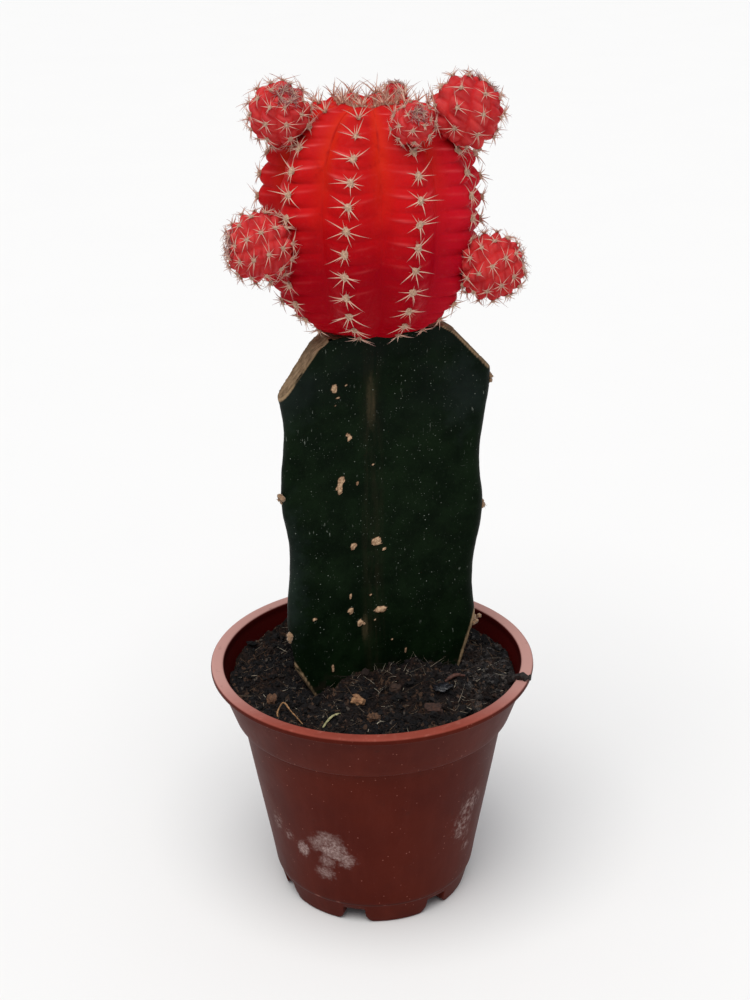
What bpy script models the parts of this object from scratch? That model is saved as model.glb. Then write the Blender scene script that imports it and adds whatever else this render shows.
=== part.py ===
# A potted moon cactus: a red ribbed globe with offsets, grafted on a three-winged green
# rootstock, standing in peat in a round plastic nursery pot. Metres, +Z up. The origin is
# where the pot's axis meets the surface it stands on, and the front looks along -Y.
import math

import bmesh
import bpy
from mathutils import Vector, noise

# Clearance between any two pieces that touch.
GAP = 0.0003

# Pot
RIM_DIAMETER = 0.085
POT_HEIGHT = 0.0672
LIP_WIDTH = 0.0034
LIP_DEPTH = 0.0016
LIP_OVERHANG = 0.0015
LIP_ROUNDING = 0.0006
COLLAR_HEIGHT = 0.0132
COLLAR_TAPER = 0.0034
COLLAR_STEP = 0.0024
COLLAR_STEP_HEIGHT = 0.0016
COLLAR_ROUNDING = 0.0004
BASE_DIAMETER = 0.0566
BASE_ROUNDING = 0.0058
BASE_OVER_FOOT = 0.0007
POT_WALL = 0.0012
FOOT_RING_DIAMETER = 0.0532
FOOT_RING_WIDTH = 0.0024
FOOT_DRAFT = 0.0016
FOOT_HEIGHT = 0.0066
UNDERSIDE_HEIGHT = 0.005
FOOT_COUNT = 7
NOTCH_WIDTH = 0.0064
NOTCH_ROUNDING = 0.0022
NOTCH_CORNER = 0.0006
NOTCH_TURN = math.radians(-102.3)
DRAIN_DIAMETER = 0.005
DRAIN_CIRCLE_DIAMETER = 0.031
CUTTER_OVERRUN = 0.002
POT_SEGMENTS = 64
# Where the rounded base has its points, as shares of the way up from the floor.
BASE_STEPS = (0.12, 0.4, 0.7, 1)

# Potting mix
MIX_BELOW_RIM = 0.0055
MIX_MOUND = 0.0049
MIX_MOUND_X = 0.0045
MIX_MOUND_Y = -0.002
MIX_MOUND_SPREAD = 0.0165
MIX_LUMPS = 0.0011
MIX_LUMP_SIZE = 0.0065
MIX_RINGS = 11
MIX_BRIM_DROP = 0.0012
MIX_BRIM_SLOPE = 0.0006
# The mix stands this far off the pot wall, a little over the gap because the wall is faceted.
MIX_CLEARANCE = 1.3 * GAP

# Rootstock
STEM_X = 0.0036
STEM_Y = 0.0005
STEM_BURIED = 0.024
STEM_STANDING = 0.0969
WING_EDGE_THICKNESS = 0.0056
WING_FLARE = 0.0012
SCALLOP_DEPTH = 0.001
SCALLOP_PITCH = 0.034
STEM_LEVELS = 22
# One entry per wing, anticlockwise: the way it points, how far its edge reaches at the soil
# and at the shoulder, how high its shoulder and one of its areoles stand above the soil, its
# reach at the top and at the buried end, how high its lower cut starts, and how hollow the
# side is that runs from this wing to the next.
WINGS = [
    {
        "turn": math.radians(9),
        "reach_low": 0.0226,
        "reach_high": 0.0267,
        "shoulder": 0.084,
        "areole": 0.0465,
        "reach_top": 0.0156,
        "reach_end": 0.0125,
        "foot_cut": 0.011,
        "hollow": 0.74,
    },
    {
        "turn": math.radians(107),
        "reach_low": 0.025,
        "reach_high": 0.027,
        "shoulder": 0.0835,
        "areole": 0.036,
        "reach_top": 0.0165,
        "reach_end": 0.012,
        "foot_cut": 0.009,
        "hollow": 0.74,
    },
    {
        "turn": math.radians(208),
        "reach_low": 0.0268,
        "reach_high": 0.0283,
        "shoulder": 0.0832,
        "areole": 0.0552,
        "reach_top": 0.0172,
        "reach_end": 0.0095,
        "foot_cut": 0.0095,
        "hollow": 0.64,
    },
]

# Grafted globe
GLOBE_X = 0.0008
GLOBE_Y = 0.0
GLOBE_RADIUS = 0.0262
GLOBE_RISE = 0.0274
GLOBE_DROP = 0.029
GLOBE_SQUARENESS = 0.8
GLOBE_BASE_RADIUS = 0.0115
GLOBE_RIBS = 10
GLOBE_RIB_DEPTH = 0.0038
GLOBE_RIB_TURN = math.radians(-65)
GLOBE_CROWN_DIP = 0.0035
GLOBE_CROWN_RADIUS = 0.0055
AREOLE_PITCH = 0.0053
TUBERCLE_HEIGHT = 0.0006
GLOBE_SEGMENTS = 80
GLOBE_LEVELS = 26

# Offsets, the small globes that sprout from the big one. "around" and "up" say where on the
# big globe one sprouts, "stand_off" how far its centre lies off that surface, and "aim" and
# "rise" which way its own crown points.
OFFSET_RIBS = 8
OFFSET_RIB_DEPTH = 0.18
OFFSET_SQUARENESS = 0.85
OFFSET_BASE_ANGLE = math.radians(-72)
OFFSET_CROWN = 0.97
OFFSET_SEGMENTS = 24
OFFSET_LEVELS = 10
OFFSETS = [
    {
        "name": "offset_upper_left",
        "around": -152,
        "up": 48,
        "stand_off": 0.0053,
        "radius": 0.0071,
        "aim": -62,
        "rise": 48,
    },
    {
        "name": "offset_upper_right",
        "around": -22,
        "up": 46,
        "stand_off": 0.0058,
        "radius": 0.0084,
        "aim": 22,
        "rise": 52,
    },
    {
        "name": "offset_lower_left",
        "around": -144,
        "up": -3,
        "stand_off": 0.0046,
        "radius": 0.0086,
        "aim": -168,
        "rise": 4,
    },
    {
        "name": "offset_lower_right",
        "around": -22,
        "up": -14,
        "stand_off": 0.0046,
        "radius": 0.0084,
        "aim": 6,
        "rise": 6,
    },
    {
        "name": "offset_front_bud",
        "around": -62,
        "up": 49,
        "stand_off": 0.0034,
        "radius": 0.0047,
        "aim": -66,
        "rise": 40,
    },
    {
        "name": "offset_crown_bud",
        "around": 70,
        "up": 54,
        "stand_off": 0.0016,
        "radius": 0.003,
        "aim": 80,
        "rise": 70,
    },
    {
        "name": "offset_back_left",
        "around": 114,
        "up": 14,
        "stand_off": 0.0045,
        "radius": 0.0076,
        "aim": 114,
        "rise": 22,
    },
    {
        "name": "offset_back_right",
        "around": 69,
        "up": -10,
        "stand_off": 0.0048,
        "radius": 0.0082,
        "aim": 66,
        "rise": 4,
    },
]

# Loose pieces on the mix: length, width, thickness and turn of each, and where it lies, as
# shares of the radius inside the lip.
CHIPS = [
    {"name": "bark_chip_1", "at": (-0.097, -0.471), "size": (0.0038, 0.0030, 0.0022), "turn": 20},
    {"name": "bark_chip_2", "at": (-0.662, -0.396), "size": (0.0036, 0.0026, 0.0020), "turn": 75},
    {"name": "bark_chip_3", "at": (0.010, -0.642), "size": (0.0034, 0.0026, 0.0018), "turn": -30},
    {"name": "bark_chip_4", "at": (0.148, -0.345), "size": (0.0030, 0.0028, 0.0022), "turn": 10},
    {"name": "bark_chip_5", "at": (0.399, -0.588), "size": (0.0050, 0.0036, 0.0022), "turn": 35},
    {"name": "bark_chip_6", "at": (-0.448, 0.588), "size": (0.0044, 0.0030, 0.0020), "turn": 60},
    {"name": "peat_flake", "at": (0.460, -0.358), "size": (0.0050, 0.0034, 0.0010), "turn": -15},
]
CHIP_ROUGHNESS = 0.22

# Stalks and the twig, each along a smooth route through its points. The first two numbers are
# shares of the radius inside the lip for the stalks, and of the rim's radius for the twig. The
# third is the height above the mix for the stalks, and above the pot's rim for the twig.
STALKS = [
    {
        "name": "root_stick",
        "radius": 0.0007,
        "route": [(0.486, -0.199, 0.0016), (0.552, -0.169, 0.0022), (0.621, -0.146, 0.0016)],
    },
    {
        "name": "straw_stalk",
        "radius": 0.0005,
        "route": [(-0.320, -0.696, 0.0014), (-0.261, -0.639, 0.0024), (-0.205, -0.621, 0.0018)],
    },
    {
        "name": "dry_stalk",
        "radius": 0.0005,
        "route": [
            (-0.611, -0.609, 0.0012),
            (-0.616, -0.552, 0.0028),
            (-0.578, -0.522, 0.0030),
            (-0.529, -0.598, 0.0022),
            (-0.448, -0.716, 0.0014),
        ],
    },
]
TWIG_RADIUS = 0.0009
TWIG_ABOVE_RIM = 0.0004
TWIG_ROUTE = [
    (0.734, -0.278, -0.0046),
    (0.784, -0.304, -0.0025),
    (0.826, -0.315, -0.0004),
    (0.871, -0.318, 0.0002),
    (0.920, -0.322, 0.0),
    (0.974, -0.348, 0.0004),
]

# Heights and radii that follow from the sizes above.
rim_radius = RIM_DIAMETER / 2
base_radius = BASE_DIAMETER / 2
foot_radius = FOOT_RING_DIAMETER / 2
lip_inner_radius = rim_radius - LIP_WIDTH
lip_underside = POT_HEIGHT - LIP_DEPTH
collar_foot = lip_underside - COLLAR_HEIGHT
collar_top_radius = rim_radius - LIP_OVERHANG
collar_foot_radius = collar_top_radius - COLLAR_TAPER
body_top_radius = collar_foot_radius - COLLAR_STEP
base_top = FOOT_HEIGHT + BASE_ROUNDING
floor_top = UNDERSIDE_HEIGHT + POT_WALL
mix_level = POT_HEIGHT - MIX_BELOW_RIM
stem_end = mix_level - STEM_BURIED
stem_top = mix_level + STEM_STANDING
globe_base = stem_top + GAP
edge_radius = WING_EDGE_THICKNESS / 2


def material(name, colour, roughness):
    made = bpy.data.materials.new(name)
    made.use_nodes = True
    shader = made.node_tree.nodes["Principled BSDF"]
    shader.inputs["Base Color"].default_value = (*colour, 1)
    shader.inputs["Roughness"].default_value = roughness
    shader.inputs["Metallic"].default_value = 0
    made.diffuse_color = (*colour, 1)
    return made


def add_mesh(name, bm, look, sharp_angle=40):
    """Turns a bmesh into an object that is shaded smooth up to the sharp angle."""
    mesh = bpy.data.meshes.new(name)
    bmesh.ops.recalc_face_normals(bm, faces=bm.faces)
    bm.to_mesh(mesh)
    bm.free()
    mesh.shade_smooth()
    mesh.set_sharp_from_angle(angle=math.radians(sharp_angle))
    mesh.materials.append(look)
    made = bpy.data.objects.new(name, mesh)
    bpy.context.scene.collection.objects.link(made)
    return made


def hide_cutter(cutter):
    cutter.hide_render = True
    cutter.display_type = "WIRE"


def cut_away(body, cutter):
    cut = body.modifiers.new("Cut " + cutter.name, "BOOLEAN")
    cut.operation = "DIFFERENCE"
    cut.solver = "EXACT"
    cut.object = cutter


def ring_stack(rings):
    """A closed body through a stack of rings of points, bottom to top. The ends are faces,
    or a single point where the last ring has one."""
    bm = bmesh.new()
    made = [[bm.verts.new(point) for point in ring] for ring in rings]
    for low, high in zip(made, made[1:]):
        count = len(low)
        for i in range(count):
            j = (i + 1) % count
            if len(high) == 1:
                bm.faces.new((low[i], low[j], high[0]))
            else:
                bm.faces.new((low[i], low[j], high[j], high[i]))
    bm.faces.new(list(reversed(made[0])))
    if len(made[-1]) > 1:
        bm.faces.new(made[-1])
    return bm


def grow(bm, distance):
    """Moves every face of a closed bmesh outward by about the same distance."""
    bm.normal_update()
    moves = [vert.normal * distance * min(vert.calc_shell_factor(), 2) for vert in bm.verts]
    for vert, move in zip(bm.verts, moves):
        vert.co += move


def smooth_route(points, count):
    """Points along a Catmull-Rom curve through the given ones."""
    ends = [points[0]] + points + [points[-1]]
    route = []
    for i in range(len(points) - 1):
        a, b, c, d = (Vector(p) for p in ends[i : i + 4])
        for step in range(count):
            t = step / count
            route.append(
                0.5 * (2 * b + (c - a) * t + (2 * a - 5 * b + 4 * c - d) * t**2)
                + 0.5 * (3 * b - a - 3 * c + d) * t**3
            )
    return route + [Vector(points[-1])]


# Pot ---------------------------------------------------------------------------------------


def pot_inner_radius(height):
    """Radius of the pot's inner wall, which runs parallel to the outer one."""
    stops = [
        (base_top, base_radius - POT_WALL),
        (collar_foot - POT_WALL, body_top_radius - POT_WALL),
        (collar_foot + POT_WALL, collar_foot_radius - POT_WALL),
        (lip_underside, collar_top_radius - POT_WALL - GAP),
    ]
    if height <= base_top:
        drop = (base_top - height) / (base_top - floor_top)
        return base_radius - POT_WALL - drop**2 * (base_radius - foot_radius + FOOT_DRAFT)
    for (low, low_radius), (high, high_radius) in zip(stops, stops[1:]):
        if height <= high:
            part = (height - low) / (high - low)
            return low_radius + part * (high_radius - low_radius)
    return lip_inner_radius


def pot_profile():
    """(radius, height) from the floor's centre up the inside, over the lip, down the outside
    and back under the floor."""
    inside = [(0, floor_top), (DRAIN_CIRCLE_DIAMETER / 2 + DRAIN_DIAMETER, floor_top)]
    floor_edge = pot_inner_radius(floor_top)
    inside.append((floor_edge - POT_WALL, floor_top))
    rise = base_top - floor_top
    inside += [(pot_inner_radius(floor_top + rise * t), floor_top + rise * t) for t in BASE_STEPS]
    for height in (collar_foot - POT_WALL, collar_foot + POT_WALL, lip_underside):
        inside.append((pot_inner_radius(height), height))
    inside.append((lip_inner_radius, POT_HEIGHT - LIP_ROUNDING))
    outside = [(lip_inner_radius + LIP_ROUNDING, POT_HEIGHT), (rim_radius - LIP_ROUNDING, POT_HEIGHT)]
    outside.append((rim_radius - LIP_ROUNDING * 0.3, POT_HEIGHT - LIP_ROUNDING * 0.3))
    outside.append((rim_radius, POT_HEIGHT - LIP_ROUNDING))
    outside.append((rim_radius, lip_underside + LIP_ROUNDING / 2))
    outside.append((rim_radius - LIP_ROUNDING / 2, lip_underside))
    outside.append((collar_top_radius, lip_underside))
    outside.append((collar_foot_radius, collar_foot + COLLAR_STEP_HEIGHT))
    outside.append((collar_foot_radius - COLLAR_ROUNDING, collar_foot + COLLAR_ROUNDING))
    outside.append((body_top_radius + COLLAR_ROUNDING, collar_foot))
    outside.append((body_top_radius, collar_foot - COLLAR_ROUNDING))
    outside.append((base_radius, base_top))
    tuck = base_radius - foot_radius - BASE_OVER_FOOT
    for t in (0.45, 0.8, 1):
        outside.append((base_radius - t**2 * tuck, base_top - t * BASE_ROUNDING))
    bottom_radius = foot_radius - FOOT_DRAFT
    outside.append((foot_radius, FOOT_HEIGHT - COLLAR_ROUNDING / 2))
    outside.append((bottom_radius, COLLAR_ROUNDING))
    outside.append((bottom_radius - COLLAR_ROUNDING, 0))
    under = [(bottom_radius - FOOT_RING_WIDTH, 0)]
    under.append((bottom_radius - FOOT_RING_WIDTH - COLLAR_ROUNDING, UNDERSIDE_HEIGHT))
    under.append((0, UNDERSIDE_HEIGHT))
    return inside + outside + under


def notch_outline():
    """Across-the-foot outline of the cutter between two feet, with the feet's corners rounded."""
    half = NOTCH_WIDTH / 2
    side = [(half + NOTCH_ROUNDING, -CUTTER_OVERRUN)]
    for step in range(5):
        turn = math.radians(90 * step / 4)
        out = half + NOTCH_ROUNDING * (1 - math.sin(turn))
        side.append((out, NOTCH_ROUNDING * (1 - math.cos(turn))))
    side.append((half, UNDERSIDE_HEIGHT - NOTCH_CORNER))
    side.append((half - NOTCH_CORNER, UNDERSIDE_HEIGHT))
    return side + [(-x, z) for x, z in reversed(side)]


def add_pot_cutters(look):
    """The gaps between the feet and the drain holes, as one mesh of separate bodies."""
    bm = bmesh.new()
    inner = foot_radius - FOOT_DRAFT - FOOT_RING_WIDTH - CUTTER_OVERRUN
    outer = base_radius + CUTTER_OVERRUN
    for i in range(FOOT_COUNT):
        turn = NOTCH_TURN + 2 * math.pi * i / FOOT_COUNT
        out = Vector((math.cos(turn), math.sin(turn), 0))
        across = Vector((-out.y, out.x, 0))
        near = []
        far = []
        for x, z in notch_outline():
            near.append(bm.verts.new(out * inner + across * x + Vector((0, 0, z))))
            far.append(bm.verts.new(out * outer + across * x + Vector((0, 0, z))))
        count = len(near)
        for j in range(count):
            k = (j + 1) % count
            bm.faces.new((near[j], near[k], far[k], far[j]))
        bm.faces.new(near)
        bm.faces.new(list(reversed(far)))
    centres = [Vector((0, 0, 0))]
    for i in range(FOOT_COUNT):
        turn = NOTCH_TURN + 2 * math.pi * (i + 0.5) / FOOT_COUNT
        centres.append(Vector((math.cos(turn), math.sin(turn), 0)) * DRAIN_CIRCLE_DIAMETER / 2)
    for centre in centres:
        tall = floor_top + 2 * CUTTER_OVERRUN
        made = bmesh.ops.create_cone(
            bm,
            cap_ends=True,
            segments=16,
            radius1=DRAIN_DIAMETER / 2,
            radius2=DRAIN_DIAMETER / 2,
            depth=tall,
        )
        bmesh.ops.translate(bm, verts=made["verts"], vec=centre + Vector((0, 0, floor_top / 2)))
    cutter = add_mesh("pot_cutters", bm, look)
    hide_cutter(cutter)
    return cutter


def add_pot():
    look = material("terracotta_plastic", (0.125, 0.017, 0.011), 0.45)
    bm = bmesh.new()
    points = [bm.verts.new((radius, 0, height)) for radius, height in pot_profile()]
    for a, b in zip(points, points[1:]):
        bm.edges.new((a, b))
    mesh = bpy.data.meshes.new("pot")
    bm.to_mesh(mesh)
    bm.free()
    mesh.materials.append(look)
    pot = bpy.data.objects.new("pot", mesh)
    bpy.context.scene.collection.objects.link(pot)
    turned = pot.modifiers.new("Turned", "SCREW")
    turned.axis = "Z"
    turned.steps = POT_SEGMENTS
    turned.render_steps = POT_SEGMENTS
    turned.use_merge_vertices = True
    turned.merge_threshold = 0.00001
    turned.use_normal_calculate = True
    turned.use_smooth_shade = True
    cut_away(pot, add_pot_cutters(look))


# Rootstock ---------------------------------------------------------------------------------


def wing_reach(wing, height):
    """How far a wing's edge reaches at this height: a slope with a scallop round each areole."""
    above = height - mix_level
    part = above / wing["shoulder"]
    slope = wing["reach_low"] + part * (wing["reach_high"] - wing["reach_low"])
    wave = math.cos(2 * math.pi * (above - wing["areole"]) / SCALLOP_PITCH)
    return slope + SCALLOP_DEPTH * wave


def stem_outline(height):
    """One level of the rootstock: round wing edges, joined by Bezier curves that make its sides."""
    axis = Vector((STEM_X, STEM_Y, height))
    ends = []
    for wing in WINGS:
        out = Vector((math.cos(wing["turn"]), math.sin(wing["turn"]), 0))
        ends.append((axis, out, Vector((-out.y, out.x, 0)), wing_reach(wing, height)))
    outline = []
    for i, wing in enumerate(WINGS):
        axis, out, across, reach = ends[i]
        _, next_out, next_across, next_reach = ends[(i + 1) % len(WINGS)]
        centre = axis + out * (reach - edge_radius)
        for step in range(5):
            turn = math.radians(-90 + 45 * step)
            outline.append(centre + edge_radius * (math.cos(turn) * out + math.sin(turn) * across))
        start = outline[-1]
        end = axis + next_out * (next_reach - edge_radius) - next_across * edge_radius
        start_handle = start - out * reach * wing["hollow"] + across * WING_FLARE
        end_handle = end - next_out * next_reach * wing["hollow"] - next_across * WING_FLARE
        for step in range(1, 8):
            t = step / 8
            outline.append(
                start * (1 - t) ** 3
                + start_handle * 3 * t * (1 - t) ** 2
                + end_handle * 3 * t**2 * (1 - t)
                + end * t**3
            )
    return outline


def slice_off(bm, point, normal):
    """Cuts a closed bmesh with a plane, as a knife would, and closes the cut with one face."""
    geometry = list(bm.verts) + list(bm.edges) + list(bm.faces)
    made = bmesh.ops.bisect_plane(bm, geom=geometry, plane_co=point, plane_no=normal, clear_outer=True)
    edges = [item for item in made["geom_cut"] if isinstance(item, bmesh.types.BMEdge)]
    bmesh.ops.contextual_create(bm, geom=edges)


def stem_body(clearance=0.0):
    """The rootstock with the slanting cuts at both ends of each wing. With a clearance, its
    faces stand that far outside the real ones, for the socket in the mix."""
    levels = []
    for step in range(STEM_LEVELS + 1):
        height = stem_end + (stem_top - stem_end) * step / STEM_LEVELS
        levels.append(stem_outline(height))
    bm = ring_stack(levels)
    for wing in WINGS:
        axis = Vector((STEM_X, STEM_Y, 0))
        out = Vector((math.cos(wing["turn"]), math.sin(wing["turn"]), 0))
        shoulder = mix_level + wing["shoulder"]
        upper = Vector((out.x, out.y, 0)) * wing["reach_top"] + Vector((0, 0, stem_top))
        lower = Vector((out.x, out.y, 0)) * wing["reach_high"] + Vector((0, 0, shoulder))
        along = lower - upper
        normal = out * -along.z + Vector((0, 0, 1)) * along.dot(out)
        slice_off(bm, axis + upper, normal.normalized())
        foot = mix_level + wing["foot_cut"]
        upper = out * wing["reach_low"] + Vector((0, 0, foot))
        lower = out * wing["reach_end"] + Vector((0, 0, stem_end))
        along = lower - upper
        normal = out * -along.z + Vector((0, 0, 1)) * along.dot(out)
        slice_off(bm, axis + upper, normal.normalized())
    if clearance:
        grow(bm, clearance)
    return bm


def add_rootstock():
    look = material("rootstock_skin", (0.008, 0.028, 0.010), 0.5)
    add_mesh("rootstock", stem_body(), look, 30)


# Potting mix -------------------------------------------------------------------------------


def mix_height(x, y):
    """Height of the mix's surface: heaped toward the rootstock and lumpy all over."""
    away = math.hypot(x - MIX_MOUND_X, y - MIX_MOUND_Y)
    mound = MIX_MOUND * math.exp(-((away / MIX_MOUND_SPREAD) ** 2))
    lumps = noise.noise(Vector((x, y, 0)) / MIX_LUMP_SIZE)
    lumps += 0.5 * noise.noise(Vector((x, y, 1)) * 2 / MIX_LUMP_SIZE)
    return mix_level + mound + MIX_LUMPS * lumps


def add_potting_mix():
    look = material("peat", (0.012, 0.008, 0.006), 0.95)
    brim_height = mix_level - MIX_BRIM_DROP
    levels = [floor_top + t * (base_top - floor_top) for t in BASE_STEPS]
    levels += [collar_foot - POT_WALL, collar_foot + POT_WALL, brim_height]
    wall = [(pot_inner_radius(floor_top) - POT_WALL - GAP, floor_top + GAP)]
    wall += [(pot_inner_radius(height) - MIX_CLEARANCE, height) for height in levels]
    turns = [2 * math.pi * i / POT_SEGMENTS for i in range(POT_SEGMENTS)]
    rings = []
    for radius, height in wall:
        rings.append([(radius * math.cos(turn), radius * math.sin(turn), height) for turn in turns])
    brim = wall[-1][0]
    for step in range(MIX_RINGS):
        radius = (brim - MIX_BRIM_SLOPE) * (1 - step / MIX_RINGS)
        ring = []
        for turn in turns:
            x = radius * math.cos(turn)
            y = radius * math.sin(turn)
            ring.append((x, y, mix_height(x, y)))
        rings.append(ring)
    rings.append([(0, 0, mix_height(0, 0))])
    mix = add_mesh("potting_mix", ring_stack(rings), look)
    socket = add_mesh("rootstock_socket", stem_body(GAP), look)
    hide_cutter(socket)
    cut_away(mix, socket)


# Globe and offsets -------------------------------------------------------------------------


def globe_profile(up):
    """(radius, height) of the plain globe, without ribs, at an angle up from its equator."""
    out = max(math.cos(up), 0) ** GLOBE_SQUARENESS
    rise = math.copysign(abs(math.sin(up)) ** GLOBE_SQUARENESS, up)
    reach = GLOBE_RISE if up > 0 else GLOBE_DROP
    radius = GLOBE_RADIUS * out
    dip = GLOBE_CROWN_DIP * math.exp(-((radius / GLOBE_CROWN_RADIUS) ** 2))
    return radius, globe_equator + reach * rise - (dip if up > 0 else 0)


def base_angle():
    """The angle below the equator where the globe has narrowed to the graft."""
    return -math.acos((GLOBE_BASE_RADIUS / GLOBE_RADIUS) ** (1 / GLOBE_SQUARENESS))


globe_equator = globe_base + GLOBE_DROP * math.sin(-base_angle()) ** GLOBE_SQUARENESS


def add_globe():
    """A squarish globe with rounded ribs and sharp furrows; along a rib's crest the tubercles
    swell between one areole and the next."""
    look = material("globe_flesh", (0.55, 0.012, 0.008), 0.45)
    low = base_angle()
    span = math.pi / 2 - low
    levels = [globe_profile(low + span * i / GLOBE_LEVELS) for i in range(GLOBE_LEVELS)]
    rings = []
    travelled = 0
    before = levels[0]
    for radius, height in levels:
        travelled += math.dist((radius, height), before)
        before = (radius, height)
        girth = min(radius / GLOBE_RADIUS, 1)
        swell = TUBERCLE_HEIGHT * math.cos(2 * math.pi * travelled / AREOLE_PITCH)
        ring = []
        for j in range(GLOBE_SEGMENTS):
            turn = 2 * math.pi * j / GLOBE_SEGMENTS
            crest = abs(math.cos((turn - GLOBE_RIB_TURN) * GLOBE_RIBS / 2))
            reach = radius - GLOBE_RIB_DEPTH * girth * (1 - crest) + swell * girth * crest**3
            ring.append((GLOBE_X + reach * math.cos(turn), GLOBE_Y + reach * math.sin(turn), height))
        rings.append(ring)
    rings.append([(GLOBE_X, GLOBE_Y, globe_profile(math.pi / 2)[1])])
    bm = ring_stack(rings)
    keep_clear = bm.copy()
    grow(keep_clear, GAP)
    add_mesh("scion_globe", bm, look)
    cutter = add_mesh("globe_clearance", keep_clear, look)
    hide_cutter(cutter)
    return cutter


def add_offset(offset, globe_cutter, look):
    """A small ribbed globe that narrows where it joins the big one, and is cut to fit it."""
    around = math.radians(offset["around"])
    radius, height = globe_profile(math.radians(offset["up"]))
    above = globe_profile(math.radians(offset["up"] + 1))
    slope = Vector((above[0] - radius, 0, above[1] - height)).normalized()
    out = Vector((math.cos(around), math.sin(around), 0))
    normal = out * slope.z + Vector((0, 0, -slope.x))
    centre = Vector((GLOBE_X, GLOBE_Y, height)) + out * radius + normal * offset["stand_off"]
    aim = math.radians(offset["aim"])
    rise = math.radians(offset["rise"])
    crown = Vector((math.cos(aim) * math.cos(rise), math.sin(aim) * math.cos(rise), math.sin(rise)))
    turned = crown.to_track_quat("Z", "Y")
    size = offset["radius"]
    rings = []
    for i in range(OFFSET_LEVELS):
        up = OFFSET_BASE_ANGLE + (math.pi / 2 - OFFSET_BASE_ANGLE) * i / OFFSET_LEVELS
        ring = []
        for j in range(OFFSET_SEGMENTS):
            turn = 2 * math.pi * j / OFFSET_SEGMENTS
            crest = abs(math.cos(turn * OFFSET_RIBS / 2))
            reach = size * math.cos(up) ** OFFSET_SQUARENESS * (1 - OFFSET_RIB_DEPTH * (1 - crest))
            local = Vector((reach * math.cos(turn), reach * math.sin(turn), size * math.sin(up)))
            ring.append(centre + turned @ local)
        rings.append(ring)
    rings.append([centre + turned @ Vector((0, 0, size * OFFSET_CROWN))])
    cut_away(add_mesh(offset["name"], ring_stack(rings), look), globe_cutter)


def add_offsets(globe_cutter):
    look = material("offset_flesh", (0.46, 0.035, 0.030), 0.5)
    for offset in OFFSETS:
        add_offset(offset, globe_cutter, look)


# Loose pieces ------------------------------------------------------------------------------


def highest_mix_under(x, y, reach):
    """The highest point of the mix within a reach of one place, for a piece that rests there."""
    heights = [mix_height(x, y)]
    for i in range(12):
        turn = 2 * math.pi * i / 12
        for share in (0.5, 1):
            out = share * reach
            heights.append(mix_height(x + out * math.cos(turn), y + out * math.sin(turn)))
    return max(heights)


def add_chip(chip, seed, look):
    """A flattened lump with an uneven surface, resting on the mix."""
    length, width, thickness = chip["size"]
    x, y = (share * lip_inner_radius for share in chip["at"])
    turn = math.radians(chip["turn"])
    bm = bmesh.new()
    bmesh.ops.create_icosphere(bm, subdivisions=2, radius=0.5)
    for vert in bm.verts:
        vert.co *= 1 + CHIP_ROUGHNESS * noise.noise(vert.co * 3 + Vector((seed * 7.3, 0, 0)))
        vert.co = Vector((vert.co.x * length, vert.co.y * width, vert.co.z * thickness))
        across = vert.co.copy()
        vert.co.x = across.x * math.cos(turn) - across.y * math.sin(turn)
        vert.co.y = across.x * math.sin(turn) + across.y * math.cos(turn)
    lowest = min(vert.co.z for vert in bm.verts)
    bed = highest_mix_under(x, y, length / 2) + GAP
    bmesh.ops.translate(bm, verts=bm.verts, vec=(x, y, bed - lowest))
    add_mesh(chip["name"], bm, look, 25)


def add_rod(name, radius, points, look):
    """A round stalk along its points, as a curve with a bevel."""
    data = bpy.data.curves.new(name, "CURVE")
    data.dimensions = "3D"
    data.bevel_depth = radius
    data.bevel_resolution = 2
    data.use_fill_caps = True
    line = data.splines.new("POLY")
    line.points.add(len(points) - 1)
    for spot, point in zip(line.points, points):
        spot.co = (*point, 1)
    data.materials.append(look)
    made = bpy.data.objects.new(name, data)
    bpy.context.scene.collection.objects.link(made)


def add_loose_pieces():
    bark = material("bark", (0.16, 0.075, 0.035), 0.9)
    dark = material("dark_peat", (0.010, 0.009, 0.010), 0.35)
    straw = material("straw", (0.33, 0.22, 0.11), 0.8)
    for seed, chip in enumerate(CHIPS):
        add_chip(chip, seed, dark if chip["name"] == "peat_flake" else bark)
    for stalk in STALKS:
        route = [(x * lip_inner_radius, y * lip_inner_radius, z) for x, y, z in stalk["route"]]
        spread = max(math.dist(route[0][:2], point[:2]) for point in route)
        x, y, _ = route[len(route) // 2]
        bed = highest_mix_under(x, y, spread)
        route = [(x, y, bed + z) for x, y, z in route]
        add_rod(stalk["name"], stalk["radius"], smooth_route(route, 5), straw)
    top = POT_HEIGHT + TWIG_RADIUS + TWIG_ABOVE_RIM
    route = [(x * rim_radius, y * rim_radius, top + z) for x, y, z in TWIG_ROUTE]
    add_rod("twig", TWIG_RADIUS, smooth_route(route, 4), dark)


def main():
    for item in list(bpy.data.objects):
        bpy.data.objects.remove(item)
    add_pot()
    add_potting_mix()
    add_rootstock()
    add_offsets(add_globe())
    add_loose_pieces()


main()
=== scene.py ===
import itertools
import math

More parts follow.
